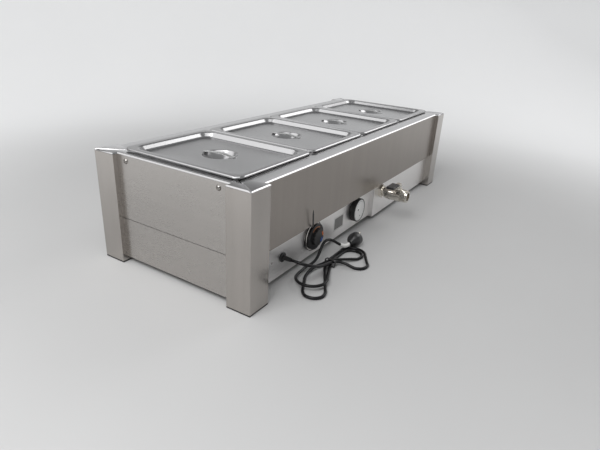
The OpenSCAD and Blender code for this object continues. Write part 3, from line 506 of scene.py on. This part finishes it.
ticks = Pattern("ticks_round_an_arc", Count="Int", Radius="Float", Start="Float", Step="Float",
                Size="Vector", Finish="Material")
tick_index = ticks.add("GeometryNodeInputIndex", {}, {})
tick_angle = ticks.add("ShaderNodeMath", {"operation": "MULTIPLY_ADD"},
                       {0: tick_index, 1: ticks.sizes["Step"], 2: ticks.sizes["Start"]})
tick_turn = ticks.add("ShaderNodeCombineXYZ", {}, {"Z": tick_angle})
tick_out = ticks.add("ShaderNodeCombineXYZ", {}, {"X": ticks.sizes["Radius"]})
tick_block = ticks.add("GeometryNodeMeshCube", {}, {"Size": ticks.sizes["Size"]})
tick_moved = ticks.add("GeometryNodeTransform", {}, {"Geometry": tick_block, "Translation": tick_out})
tick_spots = ticks.add("GeometryNodeMeshLine", {},
                       {"Count": ticks.sizes["Count"], "Offset": (0.0, 0.0, 0.0)})
ticks.end(ticks.add("GeometryNodeInstanceOnPoints", {},
                    {"Points": tick_spots, "Instance": tick_moved, "Rotation": tick_turn}))

stat_x, stat_y = 516.0, 35.0
stat_face = facing_front(stat_x, stat_y, knob_z)
folded("thermostat_knob", black_plastic, "black_plastic", 0.5, 3)
folded("thermostat_shaft", chrome, "bright_steel", 0.3)
rib_count, rib_mid = 72, 7.2
ribs = ticks.made("knob_ribs", Count=rib_count, Radius=32.9, Start=0.0, Step=math.tau / rib_count,
                  Size=(0.5, 1.3, 12.6), Finish=black_plastic.material)
ribs.transform(stat_face @ Matrix.Translation((0, 0, rib_mid)))
dressed("thermostat_ribs", ribs, black_plastic, "thermostat", "black_plastic")
dial_white = moulded("dial_white", (0.88, 0.88, 0.87), 0.30, 1500.0)
dial_print = moulded("dial_print", (0.03, 0.03, 0.035), 0.5)
dial_line = [(29.85, 14.2), (29.85, 14.55), (29.4, 14.75), (22.0, 14.82), (10.0, 14.86), (0.5, 14.87)]
dial = turned("dial", dial_line)
dial.transform(stat_face)
dressed("thermostat_dial", smoothed(dial), dial_white, "thermostat", "pale_plastic")
mark_count, mark_up = 28, 14.82
marks = ticks.made("dial_marks", Count=mark_count, Radius=26.4, Start=math.radians(-45),
                   Step=math.radians(10), Size=(3.6, 0.6, 0.12), Finish=dial_print.material)
marks.transform(stat_face @ Matrix.Translation((0, 0, mark_up)))
dressed("thermostat_marks", marks, dial_print, "thermostat", "black_plastic")
for dot, x, y, r in (("pointer", -9.0, 3.0, 2.6), ("hub", 4.0, -17.0, 1.5)):
    mark = turned(dot + "_dot", [(r, 14.7), (r, 14.93), (0.6 * r, 14.96)], 32)
    mark.transform(stat_face @ Matrix.Translation((x, y, 0)))
    dressed("thermostat_" + dot + "_dot", smoothed(mark), dial_print, "thermostat", "black_plastic")


# Rating plate: a thin foil plate stuck on the control panel between the two knobs.
# It carries a grey blank field and no writing.
plate_x, plate_z, plate_thick, plate_corner = 424.0, 53.5, 0.3, 2.0
plate_foil = brushed("plate_foil", (0.80, 0.79, 0.78), "z", 0.42)
plate_ink = moulded("plate_ink", (0.26, 0.255, 0.25), 0.5)
plate_layers = (("plate", 54.0, 40.0, 0.15, plate_foil), ("field", 46.0, 31.0, 0.3, plate_ink))
for layer, wide, high, out, finish in plate_layers:
    shape = bmesh.new()
    bmesh.ops.create_cube(shape, size=1.0)
    bmesh.ops.scale(shape, vec=(wide, high, plate_thick), verts=shape.verts)
    upright = [edge for edge in shape.edges
               if abs(edge.verts[0].co.z - edge.verts[1].co.z) > plate_thick / 2]
    bmesh.ops.bevel(shape, geom=upright, offset=plate_corner, segments=5, affect="EDGES", profile=0.5)
    mesh = bpy.data.meshes.new("rating_" + layer)
    shape.to_mesh(mesh)
    shape.free()
    mesh.transform(facing_front(plate_x, panel_y - out, plate_z))
    dressed("rating_" + layer, smoothed(mesh), finish, "cabinet", "bright_steel")


# Cable gland: a black moulded nut on the control panel that grips the lead, with grips round its edge.
# A tapered sleeve keeps the lead from bending sharply where it comes out.
gland_x, gland_z = 160.0, 57.0
gland_place = facing_front(gland_x, panel_y, gland_z)
gland_line = [(4.2, -7.0), (8.0, -7.0), (8.0, 0.0), (11.0, 0.0), (11.0, 2.6), (10.2, 3.6), (8.2, 4.0),
              (6.0, 4.3), (5.9, 5.2), (4.5, 24.0), (3.7, 24.0)]
gland = turned("gland", gland_line, 64)
gland.transform(gland_place)
dressed("cable_gland_body", smoothed(gland), black_plastic, "cabinet", "black_plastic", "cable_gland")
grip_count, grip_mid = 16, 1.4
grips = ticks.made("gland_grips", Count=grip_count, Radius=10.9, Start=0.0, Step=math.tau / grip_count,
                   Size=(0.9, 2.0, 2.6), Finish=black_plastic.material)
grips.transform(gland_place @ Matrix.Translation((0, 0, grip_mid)))
dressed("cable_gland_grips", grips, black_plastic, "cabinet", "black_plastic")


# Screws: stainless dome heads that hold the end panels to the deck's flange, and a small one
# for the terminal block. Each head has a cross recess.
def screw_head():
    """A dome head of unit diameter with a cross pressed into it, on a plain shank."""
    steps, bands = 48, 10
    head_r, tip_r, dome, shank_r, shank_l = 0.5, 0.012, 0.35, 0.25, 0.8
    cross_r, cross_half, cross_deep = 0.27, 0.055, 0.12
    ball = (head_r ** 2 + dome ** 2) / (2 * dome)
    ways = [(math.cos(math.tau * i / steps), math.sin(math.tau * i / steps)) for i in range(steps)]
    rings = [[(shank_r * c, shank_r * s, z) for c, s in ways] for z in (-shank_l, 0.0)]
    for band in range(bands + 1):
        r = head_r * (1 - band / bands) ** 0.8 + tip_r
        ring = []
        for c, s in ways:
            x, y = r * c, r * s
            z = math.sqrt(ball ** 2 - r ** 2) + dome - ball if r < head_r else 0.0
            if r < cross_r and min(abs(x), abs(y)) < cross_half:
                z -= cross_deep * (1 - r / cross_r)
            ring.append((x, y, z))
        rings.append(ring)
    return skinned("screw_head", rings)


screw_blank = bpy.data.objects.new("screw_blank", smoothed(screw_head(), 50))
scene.collection.objects.link(screw_blank)
screws = Pattern("screws_on_points", Places="Geometry", Turn="Vector", Diameter="Float", Finish="Material")
screw_shape = screws.add("GeometryNodeObjectInfo", {}, {"Object": screw_blank}, "Geometry")
screws.end(screws.add("GeometryNodeInstanceOnPoints", {},
                      {"Points": screws.sizes["Places"], "Instance": screw_shape,
                       "Rotation": screws.sizes["Turn"], "Scale": screws.sizes["Diameter"]}))
# Painted shade: the heads' dark tone stands in for the dark surroundings they reflect.
screw_steel_painted_shade = brushed("screw_steel_painted_shade", (0.30, 0.285, 0.27), "z", 0.16, 0.00002)
left_x, right_x, screw_z, block_x = 12, 1108, 245, 121
screw_ys = (86, 344)
screw_sets = (("left", [cab(left_x, y, screw_z) for y in screw_ys], (0, -math.pi / 2, 0), 0.012),
              ("right", [cab(right_x, y, screw_z) for y in screw_ys], (0, math.pi / 2, 0), 0.012),
              ("block", [cab(block_x, panel_y, gland_z)], (math.pi / 2, 0, 0), 0.005))
all_screws = bmesh.new()
for side, places, turn, head_d in screw_sets:
    spots = bpy.data.meshes.new("screw_spots")
    spots.from_pydata(places, [], [])
    all_screws.from_mesh(screws.made("screws_" + side, spots, Turn=turn, Diameter=head_d,
                                     Finish=screw_steel_painted_shade.material))
bpy.data.objects.remove(screw_blank)
screw_mesh = bpy.data.meshes.new("panel_screws_mesh")
all_screws.to_mesh(screw_mesh)
all_screws.free()
dressed("panel_screw_heads", smoothed(screw_mesh, 50), screw_steel_painted_shade, "cabinet", "bright_steel",
        "panel_screws")


# Drain: a plated pipe from the tank's floor, a lock nut on the panel and a two-piece ball valve.
# The brass castings are nickel plated and keep their soft edges.
# The ball inside is chromed, and its seats are white plastic.
plate_stained, plate_clean = (0.62, 0.58, 0.51), (0.84, 0.81, 0.75)
plated = Finish("nickel_plate")
plate_cast = plated.noise(260.0, 4.0)
plate_stain = plated.noise(35.0, 4.0)
plated.shade(Base_Color=plated.between(plate_stain, shaded(plate_stained), shaded(plate_clean)),
             Metallic=1.0,
             Roughness=0.14 + 0.16 * plate_stain,
             Normal=plated.bump(plate_cast, 0.15, 0.0003))
for node, edge in (("drain_pipe", 0.4), ("drain_locknut", 0.9), ("valve_body", 0.9), ("valve_outlet", 0.9),
                   ("valve_stem", 0.5)):
    folded(node, plated, "nickel_brass", edge, 3)
folded("valve_ball", chrome, "bright_steel", 0.3)
seat_white = moulded("seat_white", (0.75, 0.75, 0.74))
folded("valve_seats", seat_white, "seat_plastic", 0.2)


# Lever: a stepped strip of plated steel under the stem's nut, with a dipped black sleeve on its grip.
# It lies across the pipe when the valve is shut.
lever_steel = brushed("lever_steel", (0.66, 0.65, 0.63), "x", 0.28)
folded("valve_lever", lever_steel, "lever_steel", 0.7, 3)
sleeve_rubber = rubber("sleeve_rubber", (0.020, 0.020, 0.022), 0.42)
folded("lever_sleeve", sleeve_rubber, "black_rubber", 0.9, 3)


# Food pans: four half-size pans, deep-drawn from thin stainless sheet.
# Their rims are turned down at the edge and hang on the deck and the crossbars, over the water.
def rounded_ring(half_x, half_y, corner, z, steps=16):
    """Points round a rectangle with rounded corners; where it is a full circle they are evenly spaced."""
    ring = []
    full = half_x <= corner
    for quarter in range(4):
        for i in range(steps):
            share = (i + 0.5) / steps if full else i / (steps - 1)
            angle = math.radians(90 * quarter + 90 * share)
            side_x = 1 if quarter in (0, 3) else -1
            side_y = 1 if quarter < 2 else -1
            ring.append((side_x * (half_x - corner) + corner * math.cos(angle),
                         side_y * (half_y - corner) + corner * math.sin(angle), z))
    return ring


def eased(profile, steps=5):
    """Rounds a drawn profile: each stop is half sizes, corner, height and how far its bend reaches."""
    out = []
    for i, (x, y, corner, z, reach) in enumerate(profile):
        here = Vector((x, y, corner, z))
        if not reach or i in (0, len(profile) - 1):
            out.append(here)
            continue
        sides = []
        for other in (profile[i - 1], profile[i + 1]):
            away = Vector(other[:4]) - here
            sides.append(here + away * min(0.48, reach / away.length))
        for k in range(steps + 1):
            t = k / steps
            out.append(sides[0] * (1 - t) ** 2 + here * 2 * t * (1 - t) + sides[1] * t ** 2)
    return [rounded_ring(*stop) for stop in out]


def inset(base, d, z, reach):
    """A stop of a drawn profile: a rounded rectangle drawn in by a distance, at a height."""
    return (base[0] - d, base[1] - d, max(base[2] - d, 4.0), z, reach)


sheet = 1.0
rim_z, seat_z, pan_floor = 265.2, 261.2, 165.2
pan_mouth, pan_rim = (119.5, 149.5, 34.0), (130.0, 160.0, 18.0)
pan_first, pan_pitch, pan_mid = 162.5, 265.0, 215.0
pan_line = [inset(pan_mouth, 30, pan_floor, 0), inset(pan_mouth, 8.5, pan_floor, 10),
            inset(pan_mouth, 0, rim_z - sheet, 3), inset(pan_rim, sheet, rim_z - sheet, 0.8),
            inset(pan_rim, sheet, seat_z, 0.3), inset(pan_rim, 0, seat_z, 0.3),
            inset(pan_rim, 0, rim_z, 1.6), inset(pan_mouth, sheet, rim_z, 3.5),
            inset(pan_mouth, 9.5, pan_floor + sheet, 9), inset(pan_mouth, 31, pan_floor + sheet, 0)]
pan_places = [set_at(pan_first + pan_pitch * k, pan_mid, 0.0) for k in range(4)]
pan_steel = brushed("pan_steel", (0.56, 0.56, 0.56), "y", 0.30, 0.00004, 0.08)
for k, place in enumerate(pan_places, 1):
    pan = skinned("pan", eased(pan_line))
    pan.transform(place)
    dressed("pan_%d_drawn" % k, smoothed(pan, 40), pan_steel, "pan_%d" % k, "pan_steel", "pan_%d" % k)


# Lids: four loose covers drawn from the same sheet, each with its rim on the rim of a pan.
# The panel inside the rim is sunk into the pan's mouth, with a round dish pressed in for the fingers.
lid_edge, lid_lip, panel_z = (132.0, 162.0, 20.0), 2.5, 254.2
dish_r, dish_deep, dish_flat = 40.0, 20.0, 46.0
dish_ball = (dish_r ** 2 + dish_deep ** 2) / (2 * dish_deep)


def dish(r, z, reach=0.0):
    """A round stop of the lid's profile, on the dish or on the flat beside it."""
    sunk = dish_ball - dish_deep - math.sqrt(dish_ball ** 2 - r ** 2) if r < dish_r else 0.0
    return (r, r, r, z + sunk, reach)


dish_steps = (2.0, 8.0, 14.0, 20.0, 26.0, 31.0, 35.0, 38.5)
lid_line = [dish(r, panel_z) for r in dish_steps]
lid_line += [dish(dish_r, panel_z, 1.6), dish(dish_flat, panel_z), inset(pan_mouth, 11, panel_z, 3.0),
             inset(pan_mouth, 3, rim_z, 3.0), inset(lid_edge, 2.6, rim_z, 0.6),
             inset(lid_edge, 0.8, rim_z - lid_lip, 0), inset(lid_edge, 0, rim_z - lid_lip, 0.3),
             inset(lid_edge, 0.1, rim_z - 0.9, 0.5), inset(lid_edge, 2.1, rim_z + sheet, 0.5),
             inset(pan_mouth, 4, rim_z + sheet, 4.0), inset(pan_mouth, 12, panel_z + sheet, 4.0),
             dish(dish_flat, panel_z + sheet), dish(dish_r, panel_z + sheet, 2.0)]
lid_line += [dish(r, panel_z + sheet) for r in reversed(dish_steps)]
lid_steel = brushed("lid_steel", (0.44, 0.437, 0.442), "y", 0.22, 0.00001, 0.05)
for k, place in enumerate(pan_places, 1):
    lid = skinned("lid", eased(lid_line))
    lid.transform(place)
    dressed("lid_%d_drawn" % k, smoothed(lid, 40), lid_steel, "lid_%d" % k, "pan_steel", "lid_%d" % k)


# Lid handles: crowned strips of stainless steel, one across each dish.
# They are welded flat beside the dish, and arch a little over it.
bar_half, bar_foot, bar_tip, bar_z = 40.0, 4.0, 0.6, 255.2
bar_wide, bar_waist, bar_arch, bar_crown = 7.0, 0.10, 1.5, 0.95
bar_ys = [-bar_half - bar_foot, -bar_half - bar_foot + bar_tip]
bar_ys += [bar_half * (k / 14 - 1) for k in range(29)]
bar_ys += [bar_half + bar_foot - bar_tip, bar_half + bar_foot]
bar_rings = []
for n, y in enumerate(bar_ys):
    under = bar_z if abs(y) >= bar_half else bar_z + bar_arch * (1 + math.cos(math.pi * y / bar_half))
    tip = 0.75 if n in (0, len(bar_ys) - 1) else 1.0
    wide = bar_wide * tip * (1.0 - bar_waist * (1 - min(1.0, abs(y) / bar_half)))
    ring = [(wide * c, y, under + 0.05 + 0.35 * (1 - tip)) for c in (-0.94, 0.94)]
    for k in range(9):
        angle = math.pi * k / 8
        ring.append((wide * math.cos(angle), y, under + 0.6 + bar_crown * tip * math.sin(angle)))
    bar_rings.append(ring)
bar_steel = brushed("grip_steel", (0.70, 0.70, 0.70), "y", 0.2, 0.00004)
for k, place in enumerate(pan_places, 1):
    bar = skinned("lid_handle", bar_rings)
    bar.transform(place)
    dressed("lid_handle_%d_bar" % k, smoothed(bar, 50), bar_steel, "lid_%d" % k, "pan_steel",
            "lid_handle_%d" % k)


# Mains lead: a round black rubber cord, out of the gland, down to the table and into a hank.
# The hank is a loose figure of eight drawn in by a tie, and the tail arches over it to the plug.
# A bend of the hank: x and y of its centre, radius, first and last angle, layers up at its two ends.
cord_r, cord_lift, layer_step, waist_up = 3.5, 0.2, 8.0, 1.25
cord_join, cord_stop, cord_steps = 6.0, 18.0, 6
wide_loop = [(278, -52, 26, 80, 0, waist_up, 0.6), (329.5, -71.5, 24.5, 192, 288, 0.06, 0),
             (372, -36, 32, -48, 108, 0, 0)]
long_loop = [(343, -229, 225, 98, 112, 0.1, 0.2), (153, -54, 24.5, 300, 118, 0.03, 0),
             (224, -85, 85, 112, 62, 0.04, 1)]
small_loop = [(201.5, -199.7, 200, 68, 62, 1.2, waist_up), (365.5, -38.5, 24.7, -122, 100, 0.06, 0)]
round_loop = [(353.6, -236, 225, 100, 114, 0.1, 0.25), (188, -26, 35, 292, 92, 1.08, 1.08)]


def laid(x, y, up):
    """A stop of the hank, on the table or some layers up."""
    return Vector((x, y, cord_r + cord_lift + layer_step * up))


def bend_stops(x, y, r, first, last, low, high):
    """Evenly spaced stops along one bend of the hank."""
    n = max(1, round(abs(last - first) * math.pi / 180 * r / cord_stop))
    angles = [math.radians(first + (last - first) * k / n) for k in range(n + 1)]
    return [laid(x + r * math.cos(angle), y + r * math.sin(angle), low + (high - low) * k / n)
            for k, angle in enumerate(angles)]


hank_stops = [laid(263, -24, 1.65)]
hank_bends = [bend_stops(*bend) for bend in wide_loop + long_loop + small_loop + round_loop]
for bend in hank_bends + [[laid(226, 12.5, 1)]]:
    run_start = hank_stops[-1]
    n = max(1, round((bend[0] - run_start).length / cord_stop))
    hank_stops += [run_start.lerp(bend[0], k / n) for k in range(1, n)] + bend
lead_stops = [Vector(stop) for stop in ((gland_x, 26, gland_z), (gland_x, 12, gland_z), (161, 0.5, 56.3),
                                        (164.3, -13.1, 53.9), (173.4, -23.8, 50), (186.5, -29.2, 44.5),
                                        (205, -30, 36.5), (225, -27.8, 28.3), (245, -25, 21.2))]
plug_at, plug_way = Vector((393.0, -16.0, 18.5)), Vector((1.0, 0.0, 0.0))
tail_stops = [Vector(stop) for stop in ((245, 10, 12.2), (260, 8.8, 14.6), (273, 9, 20.5), (284, 10, 29),
                                        (294, 11.4, 38), (305, 12, 45), (317.5, 10.8, 47.5),
                                        (329, 7.2, 45.5), (339, 2, 39.8), (348, -4, 32.6),
                                        (357, -9.6, 26), (367, -13.8, 21), (377, -15.7, 18.8))]


def curved(a, b, c, d, t):
    """A point between b and c on a smooth line through a, b, c and d."""
    bend, turn = 2 * a - 5 * b + 4 * c - d, 3 * b - a - 3 * c + d
    return 0.5 * (2 * b + (c - a) * t + bend * t ** 2 + turn * t ** 3)


def smooth_route(stops):
    """A smooth line through the stops, in a few steps from each to the next."""
    stops = [Vector(stop) for stop in stops]
    last = len(stops) - 1
    route = [curved(stops[max(i - 1, 0)], stops[i], stops[i + 1], stops[min(i + 2, last)], k / cord_steps)
             for i in range(last) for k in range(cord_steps)]
    return route + [stops[last]]


way_in = (hank_stops[1] - lead_stops[-1]).normalized()
way_out = (tail_stops[0] - hank_stops[-2]).normalized()
joined = [hank_stops[0] - cord_join * way_in, hank_stops[0], hank_stops[0] + cord_join * way_in]
joined += hank_stops[1:-1]
joined += [hank_stops[-1] - cord_join * way_out, hank_stops[-1], hank_stops[-1] + cord_join * way_out]
plug_stops = [plug_at - 8 * plug_way, plug_at, plug_at + 4 * plug_way]
tail_route = smooth_route(tail_stops + plug_stops)
cord_route = [cab(*point) for point in smooth_route(lead_stops + joined + tail_stops + plug_stops)]
cord_rubber = rubber("cord_rubber", (0.006, 0.006, 0.007), 0.38)
cord_rubber.shade(Specular_IOR_Level=0.3)
cord_data = bpy.data.curves.new("mains_lead", "CURVE")
cord_data.dimensions = "3D"
cord_data.bevel_depth = cord_r / 1000
cord_data.bevel_resolution = 5
cord_data.use_fill_caps = True
cord_line = cord_data.splines.new("POLY")
cord_line.points.add(len(cord_route) - 1)
for point, spot in zip(cord_line.points, cord_route):
    point.co = (*spot, 1.0)
cord_line.use_smooth = True
cord_data.materials.append(cord_rubber.material)
mains_lead = bpy.data.objects.new("mains_lead", cord_data)
scene.collection.objects.link(mains_lead)
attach(mains_lead, "cabinet")
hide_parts("cord_lead", "cord_hank", "cord_tail")


# Plug: a round moulded two-pin plug that lies on the table, with a ribbed neck.
# Its pins are plated brass, one above the other, and point away from the hank.
plug_place = set_at(*plug_at, Matrix.Rotation(math.pi / 2, 4, "Y"))
neck_ribs, neck_pitch, neck_r, neck_grow = 4, 2.6, 5.5, 1.05
plug_line = [(3.6, 0.0), (5.2, 0.0)]
for rib in range(neck_ribs):
    base = 0.6 + neck_pitch * rib
    r = neck_r + neck_grow * rib
    plug_line += [(r, base), (r + 0.5, base + 0.5), (r + 0.5, base + 1.3), (r - 0.4, base + 1.8)]
plug_line += [(10.2, 12.0), (13.0, 14.8), (16.2, 18.5), (18.0, 22.5), (18.45, 26.0), (18.5, 30.0),
              (18.5, 38.0), (18.2, 40.2), (17.2, 41.6), (15.5, 42.0), (0.8, 42.0)]
plug_shape = turned("plug_body", plug_line)
plug_shape.transform(plug_place)
plug_body = dressed("plug_body", smoothed(plug_shape, 40), black_plastic, "cabinet", "black_plastic",
                    "plug")
pin_off = 9.5
pin_line = [(2.4, 41.5), (2.4, 59.0), (2.1, 60.2), (1.2, 61.0), (0.1, 61.0)]
pins = bmesh.new()
for side in (-pin_off, pin_off):
    pin = turned("pin", pin_line, 32)
    pin.transform(Matrix.Translation((side, 0, 0)))
    pins.from_mesh(pin)
pin_mesh = bpy.data.meshes.new("plug_pins")
pins.to_mesh(pin_mesh)
pins.free()
pin_mesh.transform(plug_place)
plug_pins = dressed("plug_pins", smoothed(pin_mesh), plated, "cabinet", "nickel_brass")


# Tie and tag: a black tie drawn round the waist of the hank, and a blank white tag wrapped on the tail.
# The tag is a turn of stiff paper.
tie_half, tie_top, tie_wide, tie_thick, tie_corner = 14.3, 18.9, 6.0, 1.1, 5.0
tie_place = set_at(285, -20.2, 0.05, Matrix.Rotation(math.radians(-4), 4, "Z"))


def flat_band(inwards):
    """The outline of the tie round the bundle, with soft corners."""
    left, right, high = tie_corner - tie_half, tie_half - tie_corner, tie_top - tie_corner
    corners = ((right, high, 0), (left, high, 90), (left, tie_corner, 180), (right, tie_corner, 270))
    r = tie_corner - inwards
    ring = []
    for y, z, start in corners:
        for i in range(8):
            angle = math.radians(start + 90 * i / 7)
            ring.append((y + r * math.cos(angle), z + r * math.sin(angle)))
    return ring


tie_rings = []
for outer, inner in zip(flat_band(0.0), flat_band(tie_thick)):
    tie_rings.append([(-tie_wide / 2, *outer), (tie_wide / 2, *outer), (tie_wide / 2, *inner),
                      (-tie_wide / 2, *inner)])
tie_rings.append(tie_rings[0])
tie_mesh = skinned("hank_tie", tie_rings, closed=False)
tie_mesh.transform(tie_place)
hank_tie = dressed("hank_tie", smoothed(tie_mesh, 50), black_plastic, "cabinet", "black_plastic",
                   "cord_tie")

tag_paper = moulded("tag_paper", (0.82, 0.82, 0.80), 0.6)
tag_sides, tag_outer, tag_inner = 28, cord_r + 1.7, cord_r + 0.15
tag_from, tag_to = 58, 80
tag_stops = tail_route[tag_from:tag_to]
tag_way = (tag_stops[-1] - tag_stops[0]).normalized()
tag_side = tag_way.cross(Vector((0, 0, 1))).normalized()
tag_up = tag_side.cross(tag_way)
tag_angles = [math.tau * k / tag_sides for k in range(tag_sides)]
tag_ways = [math.cos(angle) * tag_side + math.sin(angle) * tag_up for angle in tag_angles]
tag_rings = [[spot + tag_outer * way for way in tag_ways] for spot in tag_stops]
tag_rings += [[spot + tag_inner * way for way in tag_ways] for spot in reversed(tag_stops)]
tag_rings.append(tag_rings[0])
tag_mesh = skinned("cord_tag", tag_rings, closed=False)
tag_mesh.transform(set_at(0, 0, 0))
cord_tag = dressed("cord_tag", smoothed(tag_mesh, 50), tag_paper, "cabinet", "pale_plastic")
cab(gland_x, 12, gland_z)


# Spare tie: a slim nylon strap drawn round the switch's chrome ring, with its tail left long.
# The tail comes forward under the upper panel's edge and stands up in front of it.
strap_in, strap_out, strap_back, strap_front = 36.1, 37.1, 1.0, 4.4
strap_ring = arc_strip("strap_ring", strap_in, strap_out, 0, 360, strap_back, strap_front, 72)
strap_ring.transform(facing_front(switch_x, panel_y, knob_z))
dressed("spare_tie_loop", smoothed(strap_ring, 50), black_plastic, "cabinet", "black_plastic")
strap_half, strap_thin = 1.9, 0.55
strap_route = smooth_route([(270.5, 33.0, 97.0), (262, 27, 101.5), (252, 19, 105.0), (243, 10.5, 108.0),
                            (236, 6.0, 116.0), (232, 4.5, 130.0), (230, 4.0, 144.0), (229, 4.0, 155.0)])
strap_last = len(strap_route) - 1
strap_rings = []
for i, spot in enumerate(strap_route):
    way = (strap_route[min(i + 1, strap_last)] - strap_route[max(i - 1, 0)]).normalized()
    side = way.cross(Vector((0.2, 1.0, 0.1))).normalized()
    thin = side.cross(way)
    wide = strap_half * min(1.0, 0.15 + 6.0 * (1 - i / strap_last))
    strap_rings.append([spot + wide * a * side + strap_thin * b * thin
                        for a, b in ((-1, -1), (1, -1), (1, 1), (-1, 1))])
strap_mesh = skinned("spare_tie_tail", strap_rings)
strap_mesh.transform(set_at(0, 0, 0))
dressed("spare_tie_tail", smoothed(strap_mesh, 50), black_plastic, "cabinet", "black_plastic")
